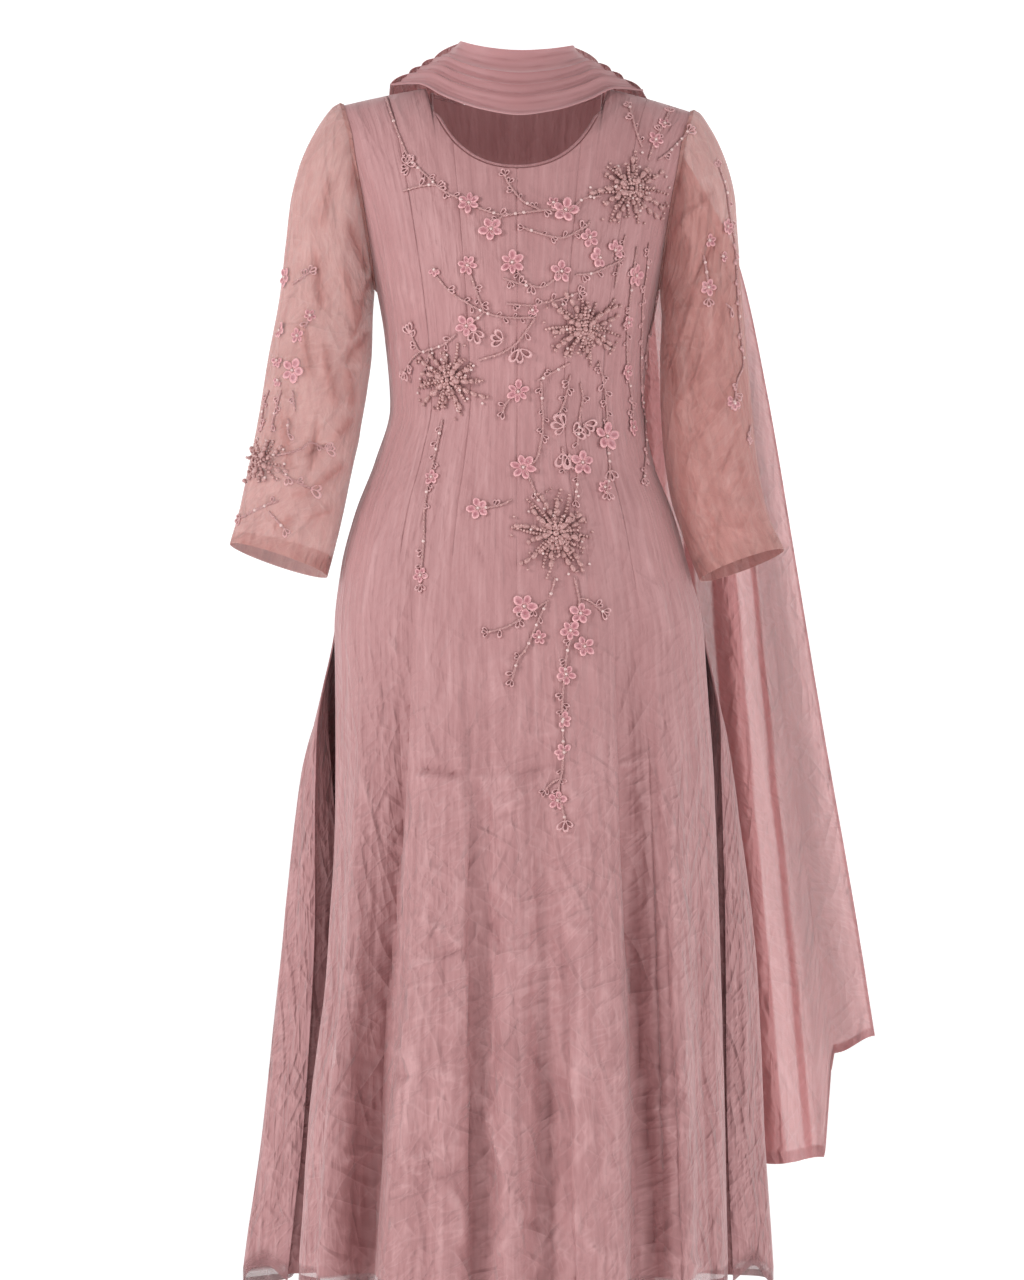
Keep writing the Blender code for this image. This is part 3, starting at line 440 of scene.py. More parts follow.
def panel_levels(across, hem, neck_drop, skirt_rows, yoke_rows):
    """Height of every row at every place across, with two close rows for the hem."""
    hem = np.broadcast_to(hem, across.shape)
    down = np.linspace(0.0, 1.0, skirt_rows)[:, None]
    skirt = (hem + HEM_WIDTH) * (1 - down) + YOKE_LEVEL * down
    t = 1 - (1 - np.linspace(0.0, 1.0, yoke_rows + 1)[1:, None]) ** 1.7
    yoke = YOKE_LEVEL * (1 - t) + top_level(across, neck_drop) * t
    return np.concatenate((hem[None], hem[None] + HEM_WIDTH / 2, skirt, yoke))


def panel_relief(levels, stations, neck_drop, place, seed, creases):
    """Height of a panel's fine relief and creases, and how much of any relief shows: none at
    the upper edge, and little beside the armholes."""
    beside = ease((np.abs(stations) - 0.80) / 0.15) * ease((levels + 0.60) / 0.08)
    calm = ease((top_level(stations, neck_drop) - levels) / 0.03) * (1 - 0.8 * beside)
    skirt_share = 0.30 + 0.70 * ease((-0.35 - levels) / 0.3)
    return crush_lines(place[..., 0], place[..., 1], seed) * skirt_share + creases, calm


def panel_stations(count, seams, seam_step, edge_steps):
    """Places across a panel: even, with close ones beside each seam and at both edges."""
    even = np.linspace(-1.0, 1.0, count)
    extra = [s + d for s in seams for d in (-seam_step, 0.0, seam_step)]
    extra += [side * (1 - d) for side in (-1, 1) for d in edge_steps]
    keep = [a for a in even if min(abs(a - e) for e in extra) > 0.6 * seam_step]
    return np.array(sorted(keep + extra))


def soft_noise(u, v, seed):
    """Smooth uneven values from -1 to 1, in cells one unit wide."""
    cells = np.random.RandomState(seed).uniform(-1.0, 1.0, (61, 67))
    iu, iv = np.floor(u).astype(int), np.floor(v).astype(int)
    fu, fv = u - iu, v - iv
    fu, fv = fu * fu * (3 - 2 * fu), fv * fv * (3 - 2 * fv)
    low = cells[iu % 61, iv % 67] * (1 - fu) + cells[(iu + 1) % 61, iv % 67] * fu
    high = cells[iu % 61, (iv + 1) % 67] * (1 - fu) + cells[(iu + 1) % 61, (iv + 1) % 67] * fu
    return low * (1 - fv) + high * fv


def crush_lines(u, v, seed):
    """Height of hand-crushed chiffon: long creases that wander along the grain."""
    w = u + 0.010 * soft_noise(u * 16, v * 7, seed)
    lines = 0.7 - 2.2 * np.abs(soft_noise(w * 92, v * 9, seed + 1))
    broad = soft_noise(w * 36, v * 5, seed + 2)
    return 0.0006 * lines + 0.0008 * broad


def crease_field(x, down, table):
    """Height of the creases that are placed one by one, at points seen from ahead."""
    total = np.zeros_like(x)
    for from_x, from_down, to_x, to_down, height, width in table:
        start = np.array((from_x, from_down)) / 1000
        run = np.array((to_x - from_x, to_down - from_down)) / 1000
        length = np.hypot(*run)
        run = run / length
        along = (x - start[0]) * run[0] + (down - start[1]) * run[1]
        off = (x - start[0]) * run[1] - (down - start[1]) * run[0]
        ends = np.clip(np.minimum(along + 0.004, length + 0.004 - along) / 0.014, 0.0, 1.0)
        side = np.exp(-np.abs(off) * 2200 / width)
        total += height / 1000 * ends * side
    return total


def long_folds(x, down, table):
    """Depth of the pressed folds, which grow from their tops down to the hem."""
    total = np.zeros_like(x)
    for top_x, top_down, middle_x, middle_down, hem_x, depth, steep, gentle in table:
        path = np.interp(down * 1000, (top_down, middle_down, HEM_DOWN),
                         (top_x, middle_x, hem_x)) / 1000
        off = (x - path) * 1000 * np.sign(steep)
        side = np.where(off > 0, np.exp(-off / abs(steep)), np.exp(off / gentle))
        grown = ease((down * 1000 - top_down) / (0.75 * (HEM_DOWN - top_down))) ** 0.65
        total -= depth / 1000 * grown * side
    return total


def grid_normals(points, ring=False):
    """Unit normals of a grid of points, along the columns crossed with up the rows."""
    if ring:
        along = np.roll(points, -1, axis=1) - np.roll(points, 1, axis=1)
    else:
        along = np.gradient(points, axis=1)
    normal = np.cross(along, np.gradient(points, axis=0))
    return normal / np.maximum(np.linalg.norm(normal, axis=-1, keepdims=True), 1e-12)


def strip(layer, part, **own):
    """A second layer beside a part of another one, such as a hem that is folded back."""
    copied = {key: layer[key][part] for key in ("points", "normals", "place") if key in layer}
    return {**copied, "ring": layer.get("ring", False), **own}


def dress(piece, node):
    """Put a piece of the scene in the place of its solid."""
    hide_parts(node)
    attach(piece, "root")


MASKS = ("hem", "sheer", "recess", "crest")


def cloth_mesh(name, layers, material):
    """One mesh of closed thin walls. A layer has points (rows, columns, 3), place (the cloth's
    own measures at those points, for its pattern), thick, and maybe ring, out and the masks."""
    parts = {key: [] for key in ("points", "faces", "place", *MASKS)}
    count = 0
    for layer in layers:
        points, place = layer["points"], layer["place"]
        ring = layer.get("ring", False)
        rows, columns = points.shape[:2]
        normals = layer.get("normals")
        if normals is None:
            normals = grid_normals(points, ring)
        middle = points + normals * layer.get("out", 0.0)
        step = normals * layer["thick"] / 2
        parts["points"] += [(middle + step).reshape(-1, 3), (middle - step).reshape(-1, 3)]
        for key in MASKS:
            values = np.broadcast_to(layer.get(key, 0.0), (rows, columns)).ravel()
            parts[key] += [values, values]
        outer = count + np.arange(rows * columns).reshape(rows, columns)
        inner = outer + rows * columns

        def cover(*corners, columns=columns, place=place):
            """Add the faces that have these corners: each a side of the wall, rows, columns."""
            faces = [side[row, column % columns] for side, row, column in corners]
            spots = [place[row, column] for _, row, column in corners]
            parts["faces"].append(np.stack(faces, axis=-1).reshape(-1, 4))
            parts["place"].append(np.stack(spots, axis=-2).reshape(-1, 4, 2))

        spans = np.arange(columns if ring else columns - 1)
        i, j = np.meshgrid(np.arange(rows - 1), spans, indexing="ij")
        cover((outer, i, j), (outer, i, j + 1), (outer, i + 1, j + 1), (outer, i + 1, j))
        cover((inner, i, j), (inner, i + 1, j), (inner, i + 1, j + 1), (inner, i, j + 1))
        for row, first, second in ((0, spans + 1, spans), (rows - 1, spans, spans + 1)):
            cover((outer, row, first), (outer, row, second), (inner, row, second),
                  (inner, row, first))
        if not ring:
            i = np.arange(rows - 1)
            for column, first, second in ((0, i, i + 1), (columns - 1, i + 1, i)):
                cover((outer, first, column), (outer, second, column),
                      (inner, second, column), (inner, first, column))
        count += 2 * rows * columns
    points, faces = np.concatenate(parts["points"]), np.concatenate(parts["faces"])
    mesh = new_mesh(name, points, faces.ravel(), np.full(len(faces), 4))
    add_uv(mesh, "cloth", np.concatenate(parts["place"]))
    for key in MASKS:
        mesh.attributes.new(key, "FLOAT", "POINT").data.foreach_set(
            "value", np.concatenate(parts[key]).astype(np.float32))
    piece = new_piece(name, mesh, material)
    mesh.set_sharp_from_angle(angle=math.radians(72))
    return piece


CRINKLE_LINE = 0.035    # half width of a crinkle's line, in its noise
CRINKLE_RISE = 0.16     # where in its noise a crinkle stops rising


def crush_group():
    """Shader group for crushed chiffon: from the cloth's own measures it gives the height of
    the fine creases, a tone that follows them (painted highlight where they rise and along the
    crinkle lines, painted shade between them), and the thread of the weave."""
    group = bpy.data.node_groups.new("crushed chiffon", "ShaderNodeTree")
    sockets = group.interface
    sockets.new_socket("Place", in_out="INPUT", socket_type="NodeSocketVector")
    for name, value in (("Lines per metre", 190.0), ("Run", 16.0), ("Broken", 0.5),
                        ("Facets", 0.8), ("Calm above", 10.0)):
        socket = sockets.new_socket(name, in_out="INPUT", socket_type="NodeSocketFloat")
        socket.default_value = value
    for name in ("Height", "Tone", "Thread"):
        sockets.new_socket(name, in_out="OUTPUT", socket_type="NodeSocketFloat")
    inside = group.nodes.new("NodeGroupInput").outputs

    def noise(vector, detail, distortion=0.0):
        return add_node(group, "TexNoise", {"Scale": 1.0, "Detail": detail, "Vector": vector,
                                            "Distortion": distortion},
                        noise_dimensions="2D").outputs["Fac"]

    def stretched(across, down):
        scale = add_node(group, "CombineXYZ", {"X": across, "Y": down})
        return add_node(group, "VectorMath", {0: inside["Place"], 1: scale.outputs["Vector"]},
                        operation="MULTIPLY").outputs["Vector"]

    def mask(value, start, end, at_start=0.0, at_end=1.0, smooth=True):
        return add_node(group, "MapRange", {
            "Value": value, "From Min": start, "From Max": end, "To Min": at_start,
            "To Max": at_end},
            interpolation_type="SMOOTHSTEP" if smooth else "LINEAR").outputs["Result"]

    def crinkles(angle, across, along, shift):
        """Folds at an angle to the grain: sloped faces that meet in crisp straight lines. Gives
        their height and a mask of the lines."""
        turn = add_node(group, "Mapping", {
            "Location": (shift, -shift, 0.0), "Rotation": (0.0, 0.0, angle),
            "Scale": (1 / across, 1 / along, 1.0), "Vector": inside["Place"]},
            vector_type="TEXTURE")
        off = calculate(group, "ABSOLUTE", calculate(
            group, "SUBTRACT", noise(turn.outputs["Vector"], 1.0), 0.5))
        line = mask(off, 0.0, CRINKLE_LINE, 1.0, 0.0, smooth=False)
        return calculate(group, "MINIMUM", off, CRINKLE_RISE), line

    across, run = inside["Lines per metre"], inside["Run"]
    fine = noise(stretched(across, run), 2.0)
    wide = noise(stretched(calculate(group, "MULTIPLY", across, 0.34),
                           calculate(group, "MULTIPLY", run, 0.6)), 2.0, 0.4)
    broken = noise(stretched(150.0, 75.0), 2.0, 0.3)
    height = calculate(group, "ADD", calculate(group, "MULTIPLY", fine, 0.45),
                       calculate(group, "MULTIPLY", wide, 0.7))
    height = calculate(group, "ADD", height,
                       calculate(group, "MULTIPLY", broken, inside["Broken"]))
    split = add_node(group, "SeparateXYZ", {"Vector": inside["Place"]})
    calm = mask(calculate(group, "SUBTRACT", split.outputs["Y"], inside["Calm above"]),
                0.0, 0.35, 1.0, 0.3)
    spread = noise(stretched(15.0, 6.0), 1.0)
    here, there = mask(spread, 0.42, 0.54), mask(spread, 0.56, 0.46)
    wrung, ridges = 0.0, 0.0
    for angle, density, along, shift, share, patch in (
            (0.34, 38.0, 8.0, 0.13, -7.0, here), (-0.50, 44.0, 9.0, 0.31, -6.6, there),
            (0.95, 42.0, 10.0, 0.57, -5.0, there), (-1.20, 48.0, 11.0, 0.72, -4.6, here),
            (0.12, 90.0, 14.0, 0.91, -2.8, there), (-0.75, 95.0, 20.0, 0.43, -2.2, here)):
        rise, line = crinkles(angle, density, along, shift)
        wrung = calculate(group, "MULTIPLY_ADD", calculate(group, "MULTIPLY", rise, patch),
                          share, wrung)
        ridges = calculate(group, "MAXIMUM", calculate(group, "MULTIPLY", line, patch), ridges)
    patchy = calculate(group, "MULTIPLY", calm, inside["Facets"])
    wrung = calculate(group, "MULTIPLY", wrung, patchy)
    ridges = calculate(group, "MULTIPLY", ridges, patchy)
    height = calculate(group, "ADD", height, wrung)
    thread = noise(stretched(2600.0, 900.0), 1.0)
    # The tone follows the relief: lighter where the fine and wide creases rise, a painted
    # highlight, lighter still along the crinkle lines, a painted highlight on their ridges, and
    # darker where they sink, a painted shade.
    tone = calculate(group, "ADD", calculate(group, "MULTIPLY", wide, 0.38),
                     calculate(group, "MULTIPLY", fine, 0.42))
    tone = calculate(group, "MULTIPLY_ADD", ridges, 0.16, calculate(group, "ADD", tone, 0.08))
    even = calculate(group, "MULTIPLY_ADD", calm, 0.45, 0.60)
    tone = calculate(group, "MULTIPLY_ADD", calculate(group, "SUBTRACT", tone, 0.5), even, 0.5)
    feed(group, group.nodes.new("NodeGroupOutput"), {
        "Height": calculate(group, "ADD", height, calculate(group, "MULTIPLY", thread, 0.03)),
        "Tone": tone, "Thread": thread})
    return group


CRUSH = crush_group()


def chiffon(name, shade, middle, light, bump, see_through, lines=190.0, run=16.0, broken=0.5,
            sheen=0.35, wrung=0.8, calm_above=10.0, glow=0.3):
    """Crushed chiffon in three tones. see_through is the alpha of one face of the cloth, away
    from hems; wrung is the depth of its crisp facets, and glow how far light passes through."""
    material, tree, shader = new_material(name)
    crush = tree.nodes.new("ShaderNodeGroup")
    crush.node_tree = CRUSH
    place = add_node(tree, "UVMap", {}, uv_map="cloth")
    feed(tree, crush, {"Lines per metre": lines, "Run": run, "Broken": broken, "Facets": wrung,
                       "Calm above": calm_above, "Place": place.outputs["UV"]})
    crest, hem, recess, sheer = (
        add_node(tree, "Attribute", {}, attribute_name=key).outputs["Fac"]
        for key in ("crest", "hem", "recess", "sheer"))
    tone = crush.outputs["Tone"]
    # The crest mask lightens the tone on crease crests and darkens it in crease troughs: painted
    # highlight and painted shade along the placed creases.
    colour = colour_ramp(tree, calculate(tree, "MULTIPLY_ADD", crest, 0.22, tone),
                         (0.18, shade), (0.5, middle), (0.80, light))
    colour = multiply_colour(tree, hem, colour, (0.76, 0.68, 0.70, 1.0))
    # The recess mask darkens the colour and thickens the cloth. This is painted shade in fold
    # troughs, pleat valleys, sleeve creases and the inner slit folds, and the deeper colour of
    # doubled cloth where a tail lies folded over itself.
    colour = multiply_colour(tree, recess, colour, (0.76, 0.67, 0.67, 1.0))
    rough = add_node(tree, "MapRange", {"Value": tone, "To Min": 0.62, "To Max": 0.46})
    clear = add_node(tree, "MapRange", {"Value": sheer, "To Min": see_through,
                                        "To Max": see_through * 0.45})
    weave = calculate(tree, "MULTIPLY_ADD", crush.outputs["Thread"],
                      0.0 if see_through >= 1.0 else 0.16, clear.outputs["Result"])
    feed(tree, shader, {
        "Base Color": colour, "Normal": bumped(tree, crush.outputs["Height"], bump),
        "Roughness": rough.outputs["Result"], "Specular IOR Level": 0.35,
        "Subsurface Weight": glow, "Subsurface Radius": (1.0, 0.86, 0.84),
        "Subsurface Scale": 0.002, "Sheen Weight": sheen, "Sheen Roughness": 0.45,
        "Sheen Tint": (1.0, 0.86, 0.87, 1.0),
        "Alpha": calculate(tree, "MULTIPLY_ADD", recess, 0.35, weave, use_clamp=True)})
    return material


BODY_CLOTH = chiffon("crushed silk chiffon", (0.343, 0.154, 0.158), (0.450, 0.225, 0.229),
                     (0.584, 0.325, 0.330), 0.0024, 1.0, calm_above=-0.82, glow=0.0,
                     broken=0.25)
FRONT_STATIONS = panel_stations(186, SEAMS, 0.007, (0.0, 0.011, 0.022))
FRONT_LEVELS = panel_levels(FRONT_STATIONS, FRONT_HEM, FRONT_NECK_DROP, 244, 38)
across_grid = np.broadcast_to(FRONT_STATIONS, FRONT_LEVELS.shape)
front_base = front_surface(across_grid, FRONT_LEVELS)
front_facing = grid_normals(front_base)
front_place = np.stack((across_grid * 0.30, FRONT_LEVELS), axis=-1)
front_creases = crease_field(front_base[..., 0], -FRONT_LEVELS, FRONT_CREASES)
front_troughs = long_folds(front_base[..., 0], -FRONT_LEVELS, FRONT_LONG_FOLDS)
front_rise, calm = panel_relief(FRONT_LEVELS, FRONT_STATIONS, FRONT_NECK_DROP, front_place, 11,
                                FRONT_CREASE_SHARE * front_creases)
front_rise = (front_rise + front_troughs) * calm
for seam in SEAMS:
    depth = 0.0004 + 0.0003 * ease((FRONT_LEVELS + 0.60) / 0.2)
    front_rise -= depth * np.maximum(1 - np.abs(across_grid - seam) / 0.007, 0.0)
front_points = front_base + front_facing * front_rise[..., None]
# Painted shade in the troughs of the pressed folds, full where a trough is FULL_SHADE_DEPTH deep.
front_trough_shade = np.clip(-front_troughs / FULL_SHADE_DEPTH, 0.0, 1.0) ** 1.3
front_normals = grid_normals(front_points)
edge_near = np.maximum(ease((np.abs(across_grid) - 0.975) / 0.003) * (FRONT_LEVELS < SLIT_TOP),
                       (FRONT_LEVELS < FRONT_HEM + HEM_BAND) * 1.0)
front_sheer = ease((FRONT_HEM + SHEER_EDGE - FRONT_LEVELS) / SHEER_FADE)
GORE_CUTS = (  # name, width at the hem, length, flat area
    ("front_gore_1", 0.20, 1.17, 0.170), ("front_gore_2", 0.10, 1.21, 0.080),
    ("front_gore_3", 0.10, 1.16, 0.080), ("front_gore_4", 0.10, 1.16, 0.080),
    ("front_gore_5", 0.10, 1.21, 0.080), ("front_gore_6", 0.20, 1.17, 0.170))
cuts = [0] + [int(np.argmin(np.abs(FRONT_STATIONS - s))) for s in SEAMS]
cuts.append(len(FRONT_STATIONS) - 1)
slit_rows = int(np.sum(FRONT_LEVELS[:, 0] < SLIT_TOP))
front_layer = {"points": front_points, "normals": front_normals, "place": front_place}
for (node, width, length, area), first, last in zip(GORE_CUTS, cuts, cuts[1:]):
    part = np.s_[:, first:last + 1]
    layers = [{"points": front_points[part], "normals": front_normals[part],
               "place": front_place[part], "thick": PANEL_THICK, "hem": 0.5 * edge_near[part],
               "sheer": front_sheer[part], "recess": front_trough_shade[part],
               "crest": front_creases[part] / CREST_HEIGHT}]
    folded = [np.s_[0:3, first:last + 1]]
    if first == 0:
        folded.append(np.s_[2:slit_rows, 0:3])
    if last == cuts[-1]:
        folded.append(np.s_[2:slit_rows, -3:])
    layers += [strip(front_layer, part, **PANEL_HEM) for part in folded]
    gore = cloth_mesh(node + "_cloth", layers, BODY_CLOTH)
    dress(gore, node)


# Back of the kameez. One panel of the same crushed chiffon, seamed to the front at the
# shoulders and down the sides to the slits, and wider than the front below them. Its bottom
# and slit edges have the same narrow hem, where the chiffon alone reaches past the ground.
BACK_HEM = -1.228
BACK_NECK_DROP = 0.0145
SIDE_HEM_RISE = 0.026
BACK_FOLDS = (  # waist, hem, begins, depth, width
    (-0.74, -0.78, -0.52, 0.020, 0.085),
    (-0.58, -0.60, -0.42, -0.030, 0.085),
    (-0.40, -0.42, -0.46, 0.018, 0.090),
    (-0.24, -0.23, -0.40, -0.028, 0.080),
    (-0.08, -0.05, -0.44, 0.020, 0.095),
    (0.12, 0.13, -0.42, -0.026, 0.080),
    (0.28, 0.31, -0.48, 0.017, 0.090),
    (0.46, 0.49, -0.42, -0.032, 0.085),
    (0.66, 0.68, -0.50, 0.022, 0.090),
)
BACK_CREASES = (
    (-92, 640, -40, 652, -2.0, 9), (-40, 652, 6, 645, 1.8, 8), (30, 664, 84, 655, -1.8, 8),
    (-118, 720, -96, 748, 1.8, 7), (62, 716, 96, 742, 1.8, 7), (-60, 770, -12, 786, -2.0, 8),
    (-12, 786, 22, 779, 1.8, 8), (104, 792, 138, 812, -1.8, 7), (-150, 806, -120, 822, 1.8, 7),
    (-84, 872, -50, 890, 2.2, 8), (-50, 890, -20, 884, 2.0, 8), (40, 868, 66, 902, 2.0, 8),
    (66, 902, 108, 894, -1.8, 8), (-176, 910, -150, 936, 1.8, 7), (150, 902, 172, 930, 1.8, 7),
    (-110, 968, -70, 978, 2.2, 8), (-70, 978, -62, 1016, 2.0, 8), (-8, 952, 30, 964, -2.0, 8),
    (30, 964, 42, 1004, 2.2, 8), (84, 984, 128, 974, 2.0, 8), (-160, 1010, -126, 1028, 2.0, 8),
    (-126, 1028, -92, 1018, 1.8, 8), (-40, 1046, -12, 1078, 2.4, 8), (12, 1050, 4, 1094, 2.2, 8),
    (60, 1040, 96, 1062, 2.2, 8), (96, 1062, 140, 1050, 2.0, 8), (-206, 1060, -172, 1076, 2.0, 8),
    (-100, 1090, -74, 1122, 2.4, 8), (-74, 1122, -48, 1112, 2.0, 8), (40, 1106, 30, 1140, 2.4, 8),
    (30, 1140, 12, 1168, 2.2, 8), (110, 1100, 124, 1140, 2.2, 8), (124, 1140, 160, 1160, 2.0, 8),
    (-184, 1130, -150, 1150, 2.0, 8), (178, 1086, 206, 1104, 2.0, 8),
    (-40, 1150, -24, 1190, 2.2, 8),
    (-70, 420, -76, 500, 1.4, 6), (24, 410, 30, 486, 1.4, 6), (96, 430, 108, 516, 1.6, 6),
    (-120, 450, -134, 540, 1.6, 6), (-112, 168, -86, 196, 1.3, 6), (112, 176, 88, 206, 1.3, 6),
    (-40, 300, -18, 306, -1.2, 6), (20, 322, 52, 316, -1.2, 6), (-70, 338, -40, 346, 1.2, 6),
)


def back_surface(across, level):
    """Points of the back, whose free edges wrap forward below the slits."""
    half = np.where(across < 0, SHAPE["back_left"](level), SHAPE["back_right"](level))
    angle = across * (np.pi / 2 + np.radians(SHAPE["wrap"](level)))
    square = 1.0 - 0.25 * ease((-0.35 - level) / 0.7) - 0.30 * ease(1 + level / 0.20)
    x, turn = half * np.sin(angle), np.cos(angle)
    y = np.where(turn > 0, SHAPE["back"](level) * np.maximum(turn, 1e-9) ** square, 0.050 * turn)
    y = y + 0.022 * slit_opening(level)
    out = fold_offset(BACK_FOLDS, across, level)
    x = x + out * np.sin(angle) * 0.6
    y = y + out * (0.35 + 0.65 * np.maximum(turn, 0.0))
    return joined(x, y, level - shoulder_fall(x, level))


back_stations = panel_stations(158, (), 0.004, (0.0, 0.009, 0.018))[::-1]
back_hem = BACK_HEM + SIDE_HEM_RISE * bell(np.abs(back_stations) - 0.9, 0.1)
back_levels = panel_levels(back_stations, back_hem, BACK_NECK_DROP, 190, 34)
across_grid = np.broadcast_to(back_stations, back_levels.shape)
back_base = back_surface(across_grid, back_levels)
back_place = np.stack((across_grid * -0.34 + 1.7, back_levels), axis=-1)
back_creases = crease_field(back_base[..., 0], -back_levels, BACK_CREASES)
back_rise, calm = panel_relief(back_levels, back_stations, BACK_NECK_DROP, back_place, 29,
                               BACK_CREASE_SHARE * back_creases)
back_rise = back_rise * calm
back_points = back_base + grid_normals(back_base) * back_rise[..., None]
back_normals = grid_normals(back_points)
side_edge = (np.abs(across_grid) > 0.98) & (back_levels < SLIT_TOP)
bottom_edge = back_levels < back_hem + HEM_BAND
back_sheer = ease((back_hem + SHEER_EDGE - back_levels) / SHEER_FADE)
slit_rows = int(np.sum(back_levels[:, 0] < SLIT_TOP))
back_layer = {"points": back_points, "normals": back_normals, "place": back_place,
              "thick": PANEL_THICK, "hem": 0.5 * (side_edge | bottom_edge),
              "sheer": back_sheer, "crest": back_creases / CREST_HEIGHT}
layers = [back_layer]
for part in (np.s_[0:3, :], np.s_[2:slit_rows, 0:3], np.s_[2:slit_rows, -3:]):
    layers.append(strip(back_layer, part, **PANEL_HEM, sheer=back_sheer[part]))
# Beside each slit the cloth doubles back behind its own edge, as a flat inner fold.
FOLD_DEEP = 0.038
LEG_SIDE = 0.170
for column in (0, -1):
    edge = back_points[2:slit_rows, column]
    side = np.sign(edge[:, :1])
    deep = np.minimum(FOLD_DEEP, np.abs(edge[:, :1]) - LEG_SIDE) * slit_opening(edge[:, 2:])
    share = np.linspace(0.0, 1.0, 13)[None, :]
    ripple = 0.0012 * soft_noise(share * 5.0, edge[:, 2:] * 24.0, 33)
    fold = edge[:, None] + joined(-side * deep * share, 0.004 + 0.010 * share + ripple, 0.0)
    place = joined(share * 0.04 + 2.6, edge[:, 2:])
    if side[0, 0] > 0:
        fold, place = fold[:, ::-1], place[:, ::-1]
    # The inner fold is darkened with painted shade where it lies back behind the slit, and
    # thickened as doubled cloth.
    layers.append({"points": fold, "place": place, "thick": 0.0008, "recess": 0.8})
back = cloth_mesh("kameez_back_cloth", layers, BODY_CLOTH)
dress(back, "kameez_back")


# Sleeves. Three-quarter sleeves of one layer of sheer crushed chiffon, set into the armholes
# with a narrow seam allowance that shows through, and a 13 mm hem folded inside the cuff.
ARMHOLE_LAP = 0.0026
SLEEVE_COLUMNS = ("outer_x", "outer_z", "inner_x", "inner_z", "depth", "centre_y", "lean")
SLEEVES = {
    "sleeve_left": (
        (0.2110, -0.032, 0.1450, -0.2110, 0.066, 0.002, 0.000),
        (0.2220, -0.066, 0.1460, -0.2190, 0.062, 0.002, 0.000),
        (0.2290, -0.110, 0.1470, -0.2310, 0.058, 0.000, 0.000),
        (0.2355, -0.165, 0.1475, -0.2480, 0.055, -0.002, 0.000),
        (0.2425, -0.222, 0.1480, -0.2720, 0.053, -0.004, 0.000),
        (0.2535, -0.281, 0.1525, -0.3080, 0.052, -0.006, 0.000),
        (0.2625, -0.338, 0.1610, -0.3570, 0.051, -0.009, 0.002),
        (0.2735, -0.393, 0.1700, -0.4060, 0.049, -0.012, 0.005),
        (0.2840, -0.438, 0.1805, -0.4530, 0.046, -0.015, 0.009),
        (0.2916, -0.466, 0.1925, -0.4985, 0.043, -0.018, 0.013),
    ),
    "sleeve_right": (
        (0.2080, -0.038, 0.1460, -0.2110, 0.066, 0.002, 0.000),
        (0.2165, -0.072, 0.1470, -0.2190, 0.061, 0.002, 0.000),
        (0.2215, -0.112, 0.1480, -0.2310, 0.057, 0.000, 0.000),
        (0.2250, -0.165, 0.1475, -0.2480, 0.054, -0.002, 0.000),
        (0.2300, -0.222, 0.1460, -0.2750, 0.052, -0.004, 0.000),
        (0.2350, -0.281, 0.1460, -0.3120, 0.050, -0.006, 0.000),
        (0.2400, -0.336, 0.1480, -0.3580, 0.048, -0.009, 0.002),
        (0.2450, -0.388, 0.1545, -0.4100, 0.047, -0.012, 0.005),
        (0.2560, -0.437, 0.1670, -0.4560, 0.045, -0.017, 0.009),
        (0.2710, -0.472, 0.1850, -0.5020, 0.042, -0.022, 0.013),
    ),
}
# Creases of the sleeves, as on the front: from and to, then height and half width.
SLEEVE_CREASES = {
    "sleeve_left": (
        (-158, 58, -168, 116, 1.6, 8), (-146, 78, -128, 112, -1.8, 9),
        (-128, 112, -134, 150, 2.0, 8), (-150, 124, -140, 168, 1.8, 8),
        (-168, 142, -150, 196, -2.0, 9), (-190, 96, -196, 150, 1.5, 8),
        (-140, 176, -156, 214, 2.2, 8), (-156, 214, -168, 262, 2.0, 8),
        (-176, 186, -166, 240, 1.8, 8), (-205, 170, -196, 232, -1.8, 9),
        (-150, 250, -172, 286, -2.0, 9), (-172, 286, -168, 330, 2.0, 8),
        (-196, 262, -184, 330, 1.8, 8), (-215, 240, -208, 300, 1.6, 8),
        (-166, 336, -190, 366, 2.0, 8), (-190, 366, -214, 378, -1.8, 8),
        (-176, 384, -206, 412, 2.0, 8), (-206, 412, -228, 420, 1.8, 8),
        (-200, 342, -208, 396, -1.8, 8), (-236, 330, -228, 400, 1.6, 8),
        (-186, 430, -214, 442, 1.6, 7), (-222, 438, -246, 452, 1.6, 7),
    ),
    "sleeve_right": (
        (152, 66, 170, 100, 1.6, 8), (170, 84, 150, 130, -2.0, 9),
        (196, 112, 160, 150, 2.2, 9), (160, 150, 148, 184, 2.0, 9),
        (206, 150, 176, 204, -1.8, 9), (150, 196, 166, 240, 1.8, 8),
        (186, 200, 166, 262, 2.0, 9), (214, 196, 200, 262, 1.6, 8),
        (206, 262, 172, 314, 2.4, 9), (172, 314, 158, 340, 2.0, 8),
        (152, 262, 160, 310, -1.6, 8), (218, 300, 190, 352, 2.0, 9),
        (190, 352, 166, 380, 1.8, 8), (226, 346, 204, 398, -1.8, 8),
        (170, 384, 186, 420, 1.8, 8), (186, 420, 206, 452, 1.8, 8),
        (230, 384, 206, 430, 2.0, 8), (206, 430, 190, 462, -1.6, 8),
        (240, 420, 222, 456, 1.6, 7), (196, 470, 214, 486, 1.4, 7),
    ),
}
SLEEVE_CLOTH = chiffon("sheer crushed chiffon", (0.52, 0.232, 0.208), (0.66, 0.330, 0.300),
                       (0.78, 0.440, 0.405), 0.0026, 0.36, lines=120.0, run=20.0, broken=0.8,
                       sheen=0.12, glow=0.30)


